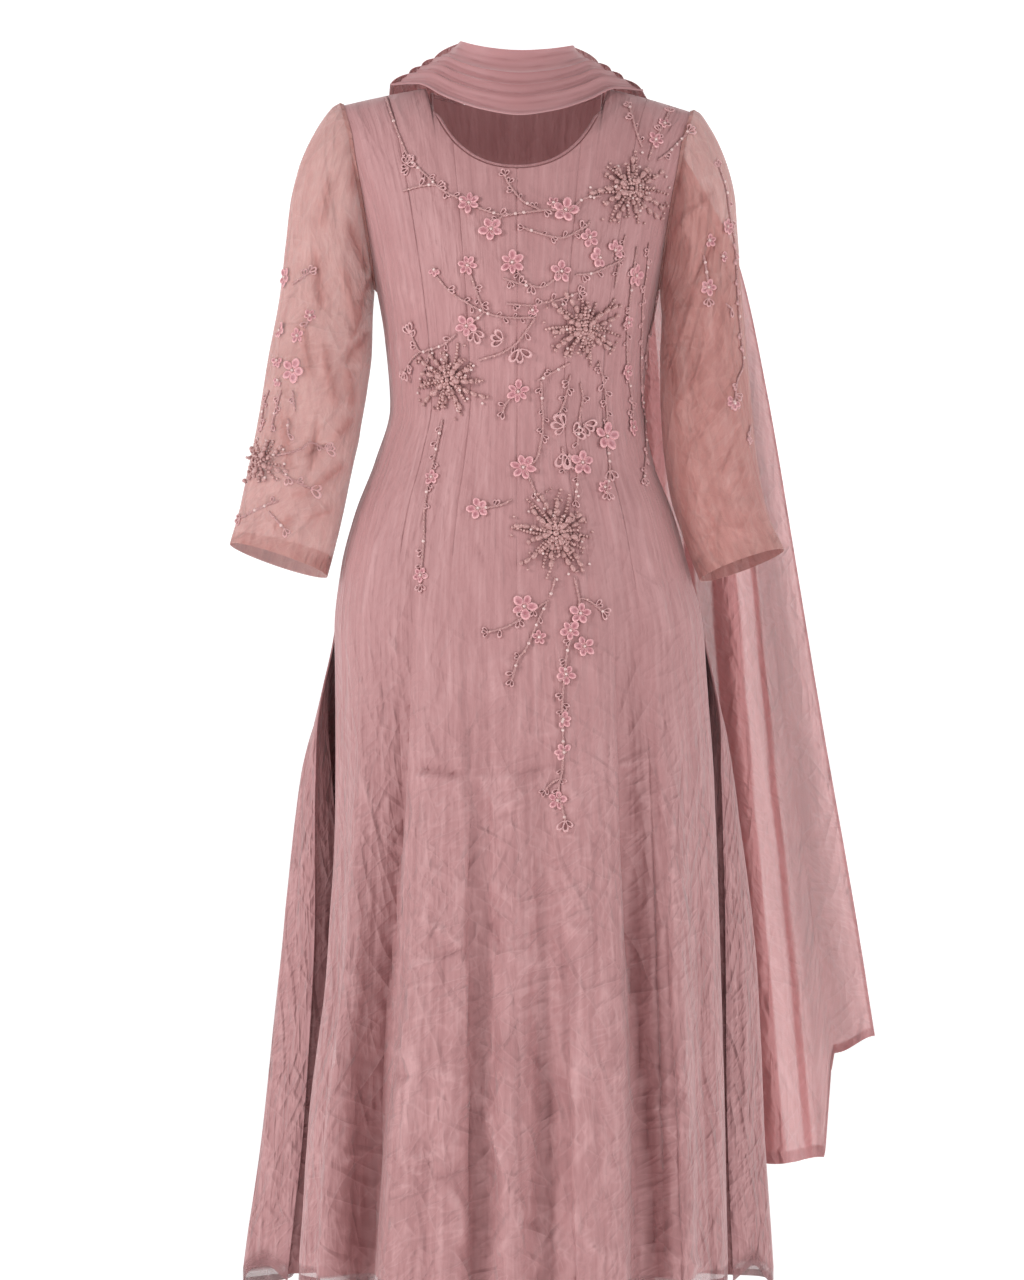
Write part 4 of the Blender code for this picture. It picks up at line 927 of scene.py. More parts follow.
def armhole_loop(sign, count, lap=ARMHOLE_LAP, inset=0.0):
    """A loop round the armhole, down the front and up the back: lap is how far it stands off
    the panels, and inset how far inside their edges it lies."""
    halves = []
    for surface in (front_surface, back_surface):
        across = SHOULDER_SIDE + (1 - SHOULDER_SIDE) * np.linspace(0, 1, 400) ** 2
        level = armhole_level(across)
        place = surface(sign * across, level)
        step = 0.004
        along = surface(sign * across + step, level) - surface(sign * across - step, level)
        normal = np.cross(along, place - surface(sign * across, level - step))
        normal = unit(normal) * (1 if surface is front_surface else -1)
        inward = unit(np.cross(np.gradient(place, axis=0), normal))
        inward *= np.where(inward @ np.array((-sign, 0.0, -0.5)) > 0, 1.0, -1.0)[:, None]
        place = place + normal * lap + inward * inset
        run = run_length(place)
        halves.append(along_line(place, run,
                                 run[-1] * np.linspace(0, 1, count // 2 + 1) ** 1.4))
    down, up = halves
    tip = (down[:1] + up[:1]) / 2 + np.array((0.0, 0.0, lap / 2))
    underarm = (down[-1:] + up[-1:]) / 2
    return np.concatenate((tip, down[1:-1], underarm, up[-2:0:-1]))


SLEEVE_AROUND = 100
CUFF_SPAN = 0.42         # the last rows of a sleeve, in rings of its table
sleeve_grids = {}


def sleeve_form(table, sign):
    """Points of a sleeve from its cuff up to the armhole, and the way that they face."""
    loop = armhole_loop(sign, SLEEVE_AROUND)
    ring_rows = [(i + 1.0, *row) for i, row in enumerate(table)]
    shape = curves(("ring", *SLEEVE_COLUMNS), ring_rows)
    last = float(len(table))
    stations = np.concatenate((np.linspace(0.0, last - CUFF_SPAN, 108),
                               last - CUFF_SPAN * (1 - np.array((0.34, 0.67, 1.0)))))
    turn = turns(SLEEVE_AROUND)
    rows = [armhole_loop(sign, SLEEVE_AROUND, 0.0011, 0.0034),
            armhole_loop(sign, SLEEVE_AROUND, 0.0017, 0.0016)]
    for station in stations:
        value = {key: float(read(max(station, 1.0))) for key, read in shape.items()}
        outer = np.array((sign * value["outer_x"], value["centre_y"], value["outer_z"]))
        inner = np.array((sign * value["inner_x"], value["centre_y"], value["inner_z"]))
        oval = ((outer + inner) / 2 - (inner - outer) / 2 * np.cos(turn)[:, None]
                + np.array((0.0, -value["depth"], value["lean"] / 2)) * np.sin(turn)[:, None])
        rows.append(loop + (oval - loop) * ease(station / 3.2))
    base = np.stack(rows)[::-1]
    if sign > 0:
        base = np.roll(base[:, ::-1], 1, axis=1)
    facing = grid_normals(base, ring=True)
    middle = base[..., 0].mean(axis=1, keepdims=True)
    if np.mean(facing[..., 0] * (base[..., 0] - middle)) < 0:
        base = np.roll(base[:, ::-1], 1, axis=1)
        facing = grid_normals(base, ring=True)
    return base, facing


for node, table in SLEEVES.items():
    sign = -1 if node == "sleeve_left" else 1
    base, facing = sleeve_form(table, sign)
    around = np.arange(SLEEVE_AROUND + 1) * 0.34 / SLEEVE_AROUND
    along = run_length(base.mean(axis=1))
    place = np.stack(np.meshgrid(around + 3.1 * (sign + 2), along), axis=-1)
    u, v = place[:, :-1, 0], place[:, :-1, 1]
    wrinkles = 0.8 - 2.2 * np.abs(soft_noise(u * 34 + v * 9, v * 15 - u * 6, 50 + sign))
    swell = soft_noise(u * 22 - v * 4, v * 9, 60 + sign)
    fade_top, fade_cuff = ease((along[-1] - v) / 0.05), 0.25 + 0.75 * ease((v - 0.012) / 0.02)
    front_side = ease(-facing[..., 1] / 0.3)
    creases = crease_field(base[..., 0], -base[..., 2], SLEEVE_CREASES[node])
    rise = (0.0007 * wrinkles + 0.0013 * swell + SLEEVE_CREASE_SHARE * front_side * creases)
    # Darker and thicker along the creases: painted shade in the creases, and the doubled chiffon of
    # each fold.
    doubled = front_side * np.clip(1.3 * np.abs(creases) / 0.0020, 0.0, 1.0)
    rise = rise * fade_top * fade_cuff * (1 - 0.75 * ease((0.165 - np.abs(base[..., 0])) / 0.01))
    points = base + facing * rise[..., None]
    normals = grid_normals(points, ring=True)
    layer = {"points": points, "normals": normals, "place": place, "thick": 0.0005,
             "ring": True, "recess": 0.85 * doubled}
    layers = [layer] + [strip(layer, part, thick=0.0004, out=-0.0006, hem=0.7)
                        for part in (np.s_[0:4], np.s_[-5:])]
    sleeve = cloth_mesh(node + "_cloth", layers, SLEEVE_CLOTH)
    sleeve_grids[node] = points
    dress(sleeve, node)


# Neck binding. A bias strip rolled round the raw neck edge into a 2.6 mm piping, all round the
# neckline, a shade darker than the cloth because it is four layers thick.
BINDING_RADIUS = 0.0013
BINDING_REACH = 0.0028
PIPING = chiffon("rolled bias piping", (0.28, 0.120, 0.124), (0.35, 0.165, 0.170),
                 (0.43, 0.220, 0.225), 0.0004, 1.0, lines=60.0, run=400.0, broken=0.1)
edge_paths = []
for points, normals, stations in ((front_base, front_facing, FRONT_STATIONS),
                                  (back_base, grid_normals(back_base), back_stations)):
    inside = np.abs(stations) < NECK_SIDE - 0.004
    edge, normal, below = points[-1, inside], normals[-1, inside], points[-2, inside]
    away = unit(np.cross(np.gradient(edge, axis=0), normal))
    away *= np.sign(np.sum(away * (edge - below), axis=-1, keepdims=True))
    edge_paths.append(edge + away * BINDING_REACH)
path = np.concatenate(edge_paths)
closed = np.concatenate((path, path[:1]))
run = run_length(closed)
path = along_line(closed, run, np.linspace(0.0, run[-1], 260, endpoint=False))
for _ in range(3):
    path = (np.roll(path, 1, axis=0) + 2 * path + np.roll(path, -1, axis=0)) / 4
ahead = unit(np.roll(path, -1, axis=0) - np.roll(path, 1, axis=0))
first = unit(np.cross(ahead, (0.0, 0.0, 1.0)))
second = np.cross(ahead, first)
SIDES = 10
turn = turns(SIDES)
rolled = (path[:, None] + BINDING_RADIUS * (first[:, None] * np.cos(turn)[None, :, None]
                                            + second[:, None] * np.sin(turn)[None, :, None]))
mesh = bpy.data.meshes.new("neck_binding_piping")
i, j = np.meshgrid(np.arange(len(path)), np.arange(SIDES), indexing="ij")
i2, j2 = (i + 1) % len(path), (j + 1) % SIDES
faces = np.stack((i * SIDES + j, i2 * SIDES + j, i2 * SIDES + j2, i * SIDES + j2),
                 axis=-1).reshape(-1, 4)
mesh.from_pydata(rolled.reshape(-1, 3).tolist(), [], faces[:, ::-1].tolist())
uv = np.stack((np.stack((j, j, j + 1, j + 1), axis=-1)[..., ::-1] * 0.0009,
               np.stack((i, i + 1, i + 1, i), axis=-1)[..., ::-1] * run[-1] / len(path)), axis=-1)
add_uv(mesh, "cloth", uv)
dress(new_piece("neck_binding_piping", mesh, PIPING), "neck_binding")


# Dupatta. One long sheer scarf in three stretches: pleated across the front of the neck, and
# an end thrown back over each shoulder. Its long edges are narrow rolled hems, its ends wider.
SCARF_COLUMNS = ("station", "upper_x", "upper_y", "upper_z", "lower_x", "lower_y", "lower_z")
SCARF = (
    (0.00, 0.000, -0.066, 0.0290, 0.000, -0.108, -0.0410),
    (0.25, 0.027, -0.062, 0.0320, 0.036, -0.096, -0.0340),
    (0.50, 0.047, -0.047, 0.0380, 0.072, -0.068, -0.0180),
    (0.75, 0.057, -0.024, 0.0440, 0.101, -0.034, 0.0000),
    (1.00, 0.059, 0.004, 0.0460, 0.129, 0.004, 0.0040),
)
PLEAT_EDGES = (0.0, 0.36, 0.55, 0.73, 1.0)
PLEAT_HEIGHT = 0.0055
TUCKS = (0.12, 0.24, 0.44, 0.635, 0.82, 0.91)    # lesser folds within the pleats
TUCK_DEPTH = 0.0016
NECK_TILT = 0.006
SHOULDER_PLEATS = 0.5
DUPATTA_NECK_CLOTH = chiffon("pleated dupatta chiffon", (0.42, 0.200, 0.205),
                             (0.47, 0.235, 0.242), (0.52, 0.275, 0.282), 0.0005, 1.0,
                             lines=90.0, run=9.0, broken=0.1, wrung=0.15)
DUPATTA_CLOTH = chiffon("sheer dupatta chiffon", (0.53, 0.236, 0.240), (0.66, 0.320, 0.325),
                        (0.78, 0.415, 0.420), 0.0020, 0.52, lines=110.0, run=6.0, broken=0.35,
                        sheen=0.12, wrung=0.8, glow=0.45)


def table_points(read, name, sign=1):
    """The points that a table's x, y and z columns of one name give."""
    return joined(sign * read[name + "_x"], read[name + "_y"], read[name + "_z"])


def pleat_height(across):
    """Height of the neck pleats: a row of rolls that meet in creases."""
    height = np.zeros_like(across)
    for start, end in zip(PLEAT_EDGES, PLEAT_EDGES[1:]):
        t = np.clip((across - start) / (end - start), 0.0, 1.0)
        height += PLEAT_HEIGHT * np.sin(np.pi * t ** 1.35) ** 0.6
    return height


mirrored = [(-row[0], -row[1], row[2], row[3], -row[4], row[5], row[6]) for row in SCARF[1:]]
shape = curves(SCARF_COLUMNS, mirrored + list(SCARF))
along = np.linspace(-1.0, 1.0, 131)[:, None]
width = np.concatenate([np.linspace(a, b, 14, endpoint=False)
                        for a, b in zip(PLEAT_EDGES, PLEAT_EDGES[1:])] + [[1.0]])[None, :]
station = np.abs(along)
read = {key: value(along) for key, value in shape.items()}
upper, lower = table_points(read, "upper"), table_points(read, "lower")
base = upper + (lower - upper) * width[..., None]
base[..., 2] -= NECK_TILT * np.maximum(along, 0.0)
for _ in range(2):
    base[1:-1] = (base[:-2] + 2 * base[1:-1] + base[2:]) / 4
facing = -grid_normals(base)
strength = 1 - (1 - SHOULDER_PLEATS) * station ** 2
pulls = soft_noise(width * 26 + along * 1.2, along * 3.0, 71)
place = joined(width * 0.115, along * 0.165)
rise = pleat_height(width) * strength + 0.0006 * pulls * np.minimum(1, 6 * width * (1 - width))
tucks = sum(np.exp(-np.abs(width + 0.02 * np.sin(along * 4 + 2 * n) - spot) / 0.012)
            for n, spot in enumerate(TUCKS))
rise = np.maximum(rise - TUCK_DEPTH * tucks, 0.0)
# Painted shade in the valleys between the pleats and along the tucks.
valleys = sum(np.exp(-np.abs(width - edge) / 0.020) for edge in PLEAT_EDGES[1:-1])
painted_pleat_shade = np.clip(1.1 * valleys + 0.9 * tucks, 0.0, 1.0)
points = base + facing * rise[..., None]
points, place, painted_pleat_shade = points[:, ::-1], place[:, ::-1], painted_pleat_shade[:, ::-1]
layer = {"points": points, "place": place, "thick": 0.0010, "recess": painted_pleat_shade}
neck_stretch = cloth_mesh("dupatta_neck_cloth", [
    layer, strip(layer, np.s_[:, 0:4], thick=0.0006, out=-0.0009, hem=0.6)], DUPATTA_NECK_CLOTH)
dress(neck_stretch, "dupatta_neck")

TAIL_COLUMNS = ("station", "inner_x", "inner_y", "inner_z", "outer_x", "outer_y", "outer_z",
                "open")
TAILS = {
    "dupatta_tail_right": (
        (0.00, 0.058, 0.0050, 0.042, 0.127, 0.0050, -0.002, 0.0),
        (0.04, 0.061, 0.045, 0.031, 0.139, 0.050, -0.014, 0.05),
        (0.08, 0.062, 0.084, 0.004, 0.161, 0.088, -0.042, 0.15),
        (0.14, 0.060, 0.118, -0.054, 0.195, 0.116, -0.090, 0.25),
        (0.22, 0.054, 0.136, -0.150, 0.231, 0.132, -0.160, 0.4),
        (0.34, 0.048, 0.146, -0.290, 0.262, 0.138, -0.295, 0.5),
        (0.50, 0.044, 0.176, -0.480, 0.293, 0.146, -0.470, 0.65),
        (0.66, 0.040, 0.212, -0.680, 0.323, 0.156, -0.650, 0.8),
        (0.84, 0.036, 0.232, -0.900, 0.355, 0.164, -0.830, 0.92),
        (1.00, 0.034, 0.244, -1.130, 0.380, 0.170, -0.983, 1.0),
    ),
    "dupatta_tail_left": (
        (0.00, 0.059, 0.0050, 0.046, 0.129, 0.0050, 0.004, 0.0),
        (0.04, 0.060, 0.045, 0.034, 0.132, 0.050, -0.010, 0.05),
        (0.08, 0.057, 0.084, 0.006, 0.134, 0.088, -0.038, 0.2),
        (0.14, 0.050, 0.118, -0.052, 0.131, 0.118, -0.088, 0.4),
        (0.22, 0.040, 0.136, -0.150, 0.126, 0.134, -0.160, 0.6),
        (0.34, 0.030, 0.146, -0.290, 0.121, 0.144, -0.292, 0.75),
        (0.50, 0.024, 0.178, -0.470, 0.130, 0.170, -0.470, 0.85),
        (0.66, 0.018, 0.216, -0.650, 0.150, 0.202, -0.648, 0.9),
        (0.84, 0.014, 0.238, -0.855, 0.174, 0.218, -0.838, 1.0),
        (1.00, 0.010, 0.250, -1.035, 0.192, 0.228, -1.000, 1.0),
    ),
}
TAIL_FOLDS = {  # across, depth, width
    "dupatta_tail_right": (
        (0.06, 0.018, 0.045), (0.17, -0.024, 0.050), (0.29, 0.026, 0.055),
        (0.42, -0.024, 0.055), (0.55, 0.024, 0.055), (0.70, -0.026, 0.055),
        (0.84, 0.026, 0.045), (0.96, -0.012, 0.050)),
    "dupatta_tail_left": (
        (0.08, 0.014, 0.070), (0.25, -0.014, 0.070), (0.42, 0.015, 0.075),
        (0.59, -0.013, 0.070), (0.76, 0.014, 0.075), (0.92, -0.010, 0.070)),
}
# Where each tail is folded over on itself, from and to across it, so two layers show there.
TAIL_DOUBLED = {
    "dupatta_tail_right": ((0.02, 0.13), (0.20, 0.27), (0.36, 0.47), (0.53, 0.57),
                           (0.63, 0.74), (0.80, 0.83)),
    "dupatta_tail_left": ((0.05, 0.18), (0.30, 0.42), (0.55, 0.63), (0.74, 0.86)),
}
TAIL_STEP = 0.867
STEP_HALF_WIDTH = 0.014
STEP_SHARES = (0.10, 0.76, 0.14)
TAIL_SIZES = {  # columns, rows, flat width and length
    "dupatta_tail_right": (120, 190, 0.44, 1.16),
    "dupatta_tail_left": (72, 170, 0.22, 1.12),
}


def tail_form(node, sign):
    """Points of a tail, with their places across it and down it."""
    columns, rows = TAIL_SIZES[node][:2]
    across = np.linspace(0.0, 1.0, columns)
    if sign > 0:
        close = TAIL_STEP + STEP_HALF_WIDTH * np.linspace(-1, 1, 5)
        across = np.sort(np.concatenate((across, close)))
    across = across[None, :]
    station = np.concatenate((np.linspace(0.0, 1.0, rows) ** 1.2 * 0.991,
                              (0.9955, 1.0)))[:, None]
    shape = curves(TAIL_COLUMNS, TAILS[node])
    read = {key: value(station) for key, value in shape.items()}
    inner, outer = table_points(read, "inner", sign), table_points(read, "outer", sign)
    base = inner + (outer - inner) * across[..., None]
    wave = sum(depth * bell(across - spot, spread) for spot, depth, spread in TAIL_FOLDS[node])
    base[..., 1] += wave * read["open"]
    if sign > 0:
        past = across - TAIL_STEP
        before, at, after = STEP_SHARES
        beyond = (before * across + at * ease(past / (2 * STEP_HALF_WIDTH) + 0.5)
                  + after * ease(past / (1 - TAIL_STEP)))
        weight = across + (beyond - across) * ease((station - 0.2) / 0.5)
        base[..., 2] = inner[..., 2] + (outer[..., 2] - inner[..., 2]) * weight
    return base, across, station


for node in TAILS:
    sign = 1 if node == "dupatta_tail_right" else -1
    flat_width, flat_length = TAIL_SIZES[node][2:]
    base, across, station = tail_form(node, sign)
    facing = grid_normals(base) * sign
    fade = SHOULDER_PLEATS * (1 - ease(station / 0.2))
    place = joined(across * flat_width + 5.3 * sign, station * flat_length)
    u, v = place[..., 0], place[..., 1]
    lines = 0.7 - 2.2 * np.abs(soft_noise(u * 55 + 0.004 * soft_noise(u * 9, v * 5, 90), v * 4, 91))
    rise = (pleat_height(across) * fade
            + (0.0005 * lines + 0.0014 * soft_noise(u * 24, v * 3.2, 92 + sign)
               + 0.0010 * soft_noise(u * 9 + v * 5, v * 16, 95 + sign)
               * ease((station - 0.5) / 0.3))
            * ease(station / 0.15))
    wander = 0.012 * np.sin(station * 7 + 2.0)
    doubled = sum(ease((across + wander - start) / 0.006) * ease((end - across - wander) / 0.006)
                  for start, end in TAIL_DOUBLED[node])
    doubled = np.maximum(0.78 * doubled * ease((station - 0.12) / 0.1),
                         0.75 * (1 - ease((station - 0.10) / 0.16)))
    points = base + facing * rise[..., None]
    if sign > 0:
        points, place, doubled = points[:, ::-1], place[:, ::-1], doubled[:, ::-1]
    points, place, doubled = points[::-1], place[::-1], doubled[::-1]
    layer = {"points": points, "place": place, "thick": 0.0005, "recess": doubled}
    layers = [layer] + [strip(layer, part, thick=0.0004, out=0.0006, hem=0.7)
                        for part in (np.s_[0:3], np.s_[:, 0:2], np.s_[:, -2:])]
    tail = cloth_mesh(node + "_cloth", layers, DUPATTA_CLOTH)
    dress(tail, node)


# Salwar. Two straight legs of plain crepe, seamed at the rise and the inseams, gathered under
# a narrow waistband, which the kameez hides down to the hem.
SALWAR_COLUMNS = ("level", "half", "front", "back", "closed", "inner")
SALWAR = (
    (-0.402, 0.124, 0.088, 0.080, 0.00, 0.0002),
    (-0.470, 0.148, 0.098, 0.102, 0.03, 0.0002),
    (-0.550, 0.158, 0.103, 0.115, 0.12, 0.0002),
    (-0.620, 0.163, 0.100, 0.112, 0.42, 0.0004),
    (-0.665, 0.165, 0.096, 0.106, 1.00, 0.0006),
    (-0.740, 0.165, 0.090, 0.098, 1.00, 0.0080),
    (-0.880, 0.160, 0.082, 0.088, 1.00, 0.0120),
    (-1.050, 0.150, 0.074, 0.078, 1.00, 0.0140),
    (-1.220, 0.141, 0.068, 0.070, 1.00, 0.0150),
    (-1.385, 0.137, 0.064, 0.064, 1.00, 0.0150),
)
WAISTBAND_TOP = -0.362
WAISTBAND_END = -0.4013
BAND_LENGTH = 0.62
BAND_AROUND = 120
WAISTBAND_HALF = (0.121, 0.086, 0.078)
SALWAR_CLOTH = chiffon("plain rose crepe", (0.34, 0.155, 0.165), (0.44, 0.215, 0.225),
                       (0.50, 0.265, 0.275), 0.0004, 1.0, lines=60.0, run=20.0, broken=0.3,
                       sheen=0.15)
shape = curves(SALWAR_COLUMNS, SALWAR)
leg_top, leg_end = SALWAR[0][0], SALWAR[-1][0]
level = np.concatenate((leg_end + np.array((0.0, 0.009, 0.018)),
                        np.linspace(leg_end + 0.030, leg_top, 88)))[:, None]
t = np.linspace(0.0, 1.0, 65)[None, :]
read = {key: value(level) for key, value in shape.items()}
side = np.where(t > 0.5, 1.0, -1.0)
depth = np.where(t > 0.5, read["back"], read["front"])
open_x = read["inner"] + (read["half"] - read["inner"]) * np.sin(np.pi * t) ** 0.8
open_y = side * depth * np.abs(np.cos(np.pi * t))
round_x = ((read["half"] + read["inner"]) / 2
           - (read["half"] - read["inner"]) / 2 * np.cos(2 * np.pi * t))
round_y = side * depth * np.abs(np.sin(2 * np.pi * t)) * ((t > 0) & (t < 1))
leg_x = open_x + (round_x - open_x) * read["closed"]
leg_y = open_y + (round_y - open_y) * read["closed"]
inseam = (t <= 0) | (t >= 1)
leg_y = leg_y + np.where(inseam, side * 0.0003 * read["closed"], 0.0)
edge_calm = np.minimum(1, 14 * np.minimum(t, 1 - t))
for node, sign in (("salwar_leg_left", -1), ("salwar_leg_right", 1)):
    base = joined(sign * leg_x, leg_y, level)
    if sign < 0:
        base = base[:, ::-1]
    place = joined(t * 0.44 + 9.0 * sign, level)
    u, v = place[..., 0], place[..., 1]
    soft = soft_noise(u * 30, v * 2.2, 120 + sign) * ease((-0.385 - level) / 0.05)
    gather = soft_noise(u * 95, v * 1.5, 130 + sign) * ease((level + 0.62) / 0.15)
    rise = (0.0016 * soft + 0.0008 * gather) * edge_calm * ease((leg_top - level) / 0.02)
    points = base + grid_normals(base) * rise[..., None]
    layer = {"points": points, "place": place, "thick": PANEL_THICK}
    leg = cloth_mesh(node + "_cloth", [
        layer, strip(layer, np.s_[0:3], thick=0.0006, out=-0.0008, hem=0.3)], SALWAR_CLOTH)
    dress(leg, node)
half, front_depth, back_depth = WAISTBAND_HALF
turn = turns(BAND_AROUND)
band_level = np.linspace(WAISTBAND_END, WAISTBAND_TOP, 11)[:, None]
puckers = 0.0006 * soft_noise(np.arange(BAND_AROUND)[None, :] / 2.6, band_level * 30, 140)
points = joined((half + puckers) * np.cos(turn),
                np.where(np.sin(turn) > 0, back_depth, front_depth) * np.sin(turn)
                + puckers * np.sin(turn), band_level)
place = joined(np.arange(BAND_AROUND + 1) * BAND_LENGTH / BAND_AROUND, band_level)
waistband = cloth_mesh("salwar_waistband_cloth",
                       [{"points": points, "place": place, "thick": 0.0014, "ring": True}],
                       SALWAR_CLOTH)
dress(waistband, "salwar_waistband")


# Embroidery cords. Twisted silk cord, 2.6 mm thick, couched on the front and the sleeves in
# long curving stems. Places are in millimetres as seen from ahead: right of the middle, and
# down from the shoulders.
CHART_DEPTH = -0.11
CHART_STEP = 0.000992
CORD_RADIUS = 0.00130
CORD_TWIST = 1.15        # turn of the strands at each step along a stem, in radians
CORD_SIDES = 5
FRONT_STEMS = (
    ((-132, 23), (-125, 44), (-117, 66), (-107, 87), (-91, 103), (-76, 117), (-57, 127),
     (-48, 131)),
    ((-48, 131), (-33, 138), (-14, 143), (4, 141), (34, 138), (51, 141)),
    ((51, 141), (66, 127), (85, 124)),
    ((-114, 119), (-100, 115), (-84, 113), (-74, 117)),
    ((25, 139), (7, 130), (-1, 122), (-9, 111), (-12, 104)),
    ((7, 156), (21, 161), (37, 165), (48, 165), (60, 159), (69, 154), (73, 148)),
    ((-14, 143), (-20, 150), (-26, 157)),
    ((-1, 194), (4, 205), (15, 213), (26, 214), (37, 207), (45, 202)),
    ((58, 202), (74, 201), (86, 196), (99, 190), (106, 186)),
    ((-14, 206), (-1, 210), (10, 213)),
    ((-46, 202), (-41, 218), (-36, 230), (-33, 238)),
    ((-80, 204), (-68, 218), (-52, 229), (-33, 239), (-17, 244), (-1, 245), (18, 245)),
    ((-33, 240), (-41, 247), (-49, 251)),
    ((-11, 231), (0, 232), (18, 233), (26, 230), (39, 228), (51, 224), (61, 220)),
    ((18, 245), (13, 253), (5, 264), (-2, 272), (-17, 281), (-30, 285), (-39, 288)),
    ((-60, 261), (-73, 272), (-87, 277), (-96, 279), (-102, 269), (-106, 261)),
    ((-96, 279), (-104, 286), (-112, 299)),
    ((-87, 278), (-89, 290), (-93, 300)),
    ((-74, 347), (-80, 375), (-87, 405), (-92, 434), (-93, 468), (-96, 503)),
    ((53, 290), (37, 299), (28, 304), (20, 308)),
    ((24, 308), (25, 334), (26, 350), (24, 368), (20, 385), (13, 393)),
    ((-7, 326), (-12, 333), (-14, 339)),
    ((53, 302), (48, 326), (43, 339)),
    ((63, 310), (65, 326), (62, 347), (60, 374)),
    ((81, 288), (86, 310), (88, 328), (90, 353)),
    ((108, 162), (102, 186), (97, 216)),
    ((119, 174), (115, 202), (111, 238), (109, 268), (110, 299), (114, 328), (115, 355)),
    ((131, 170), (129, 198), (125, 228), (124, 258), (123, 288), (124, 320), (127, 348),
     (128, 378), (126, 406)),
    ((140, 218), (135, 246), (129, 273), (128, 298)),
    ((90, 374), (92, 398), (89, 420)),
    ((45, 374), (47, 401)),
    ((61, 398), (60, 408), (58, 428)),
    ((6, 395), (13, 408), (21, 428)),
    ((-39, 436), (-27, 435), (-14, 432), (-5, 427)),
    ((38, 505), (35, 518), (32, 525)),
    ((32, 528), (22, 534), (3, 547), (-12, 555), (-29, 560)),
    ((30, 530), (22, 546), (15, 563), (8, 578), (1, 587), (-5, 607)),
    ((57, 505), (61, 522), (62, 532), (58, 553), (51, 575), (49, 587), (46, 619), (45, 641),
     (46, 675), (45, 699), (42, 718), (48, 748)),
    ((62, 526), (71, 528), (85, 539)),
    ((44, 706), (36, 710), (28, 718)),
    ((125, 76), (119, 60), (115, 44), (112, 35)),
    ((131, 88), (138, 68), (146, 52), (152, 40)),
    ((140, 88), (152, 79), (165, 66), (171, 60)),
)
SLEEVE_STEMS = (
    ((-224, 212), (-215, 206), (-207, 200)),
    ((-207, 243), (-212, 256)),
    ((-247, 318), (-252, 332), (-255, 353)),
    ((-235, 318), (-242, 343), (-245, 360)),
    ((-224, 318), (-222, 339)),
    ((-228, 346), (-229, 363)),
    ((-242, 384), (-217, 377), (-207, 370), (-191, 377)),
    ((-235, 401), (-221, 409), (-207, 416)),
    ((-276, 446), (-255, 435), (-238, 428)),
    ((-248, 439), (-233, 456)),
    ((201, 95), (208, 117), (212, 145), (216, 166), (218, 192), (219, 217), (221, 245),
     (223, 266), (225, 292), (219, 309), (217, 331)),
    ((186, 183), (189, 198), (191, 213)),
    ((232, 352), (231, 364)),
    ((208, 231), (214, 237)),
)


def surface_tree(grids):
    """A search tree of quads from grids of points; a ring's last column joins its first."""
    points, quads, start = [], [], 0
    for grid, ring in grids:
        rows, columns = grid.shape[:2]
        i, j = np.meshgrid(np.arange(rows - 1), np.arange(columns if ring else columns - 1),
                           indexing="ij")
        k = (j + 1) % columns
        number = start + np.arange(rows * columns).reshape(rows, columns)
        quads.append(np.stack((number[i, j], number[i, k], number[i + 1, k], number[i + 1, j]),
                              axis=-1).reshape(-1, 4))
        points.append(grid.reshape(-1, 3))
        start += rows * columns
    return BVHTree.FromPolygons(np.concatenate(points).tolist(),
                                np.concatenate(quads).tolist())


stitched = surface_tree([(front_points + front_normals * 0.00045, False),
                         (sleeve_grids["sleeve_left"], True),
                         (sleeve_grids["sleeve_right"], True)])
smooth_front = surface_tree([(front_base[::4, ::4], False),
                             (sleeve_grids["sleeve_left"][::5, ::5], True),
                             (sleeve_grids["sleeve_right"][::5, ::5], True)])


def lay(right, down):
    """The point of the cloth at a place on the chart, and the direction that it faces."""
    aim = Vector((right * CHART_STEP, CHART_DEPTH, -down * CHART_STEP)) - EYE
    point = stitched.ray_cast(EYE, aim.normalized())[0]
    if point is None:
        return None
    normal = smooth_front.find_nearest(point)[1]
    if normal.y > 0:
        normal = -normal
    return point, normal


def smooth_path(places, step=1.6):
    """Places every 1.6 mm or so along a smooth line through the ones given."""
    points = [np.array(p, float) for p in places]
    points = [2 * points[0] - points[1]] + points + [2 * points[-1] - points[-2]]
    line = []
    for a, b, c, d in zip(points, points[1:], points[2:], points[3:]):
        parts = max(int(np.hypot(*(c - b)) / step), 1)
        for i in range(parts):
            t = i / parts
            line.append(0.5 * (2 * b + (c - a) * t + (2 * a - 5 * b + 4 * c - d) * t * t
                               + (3 * b - a - 3 * c + d) * t ** 3))
    return line + [points[-2]]


def thread_material(name, shade, light, roughness, coat, scale, bump):
    """A silk, satin or bead finish in two tones, with a fine grain."""
    material, tree, shader = new_material(name)
    where = add_node(tree, "TexCoord", {})
    grain = add_node(tree, "TexNoise", {"Scale": scale, "Detail": 2.0,
                                        "Vector": where.outputs["Object"]}).outputs["Fac"]
    feed(tree, shader, {
        "Base Color": colour_ramp(tree, grain, (0.35, shade), (0.65, light)),
        "Normal": bumped(tree, grain, bump), "Roughness": roughness, "Coat Weight": coat,
        "Coat Roughness": 0.15, "Sheen Weight": 0.15 if coat < 0.2 else 0.0})
    return material


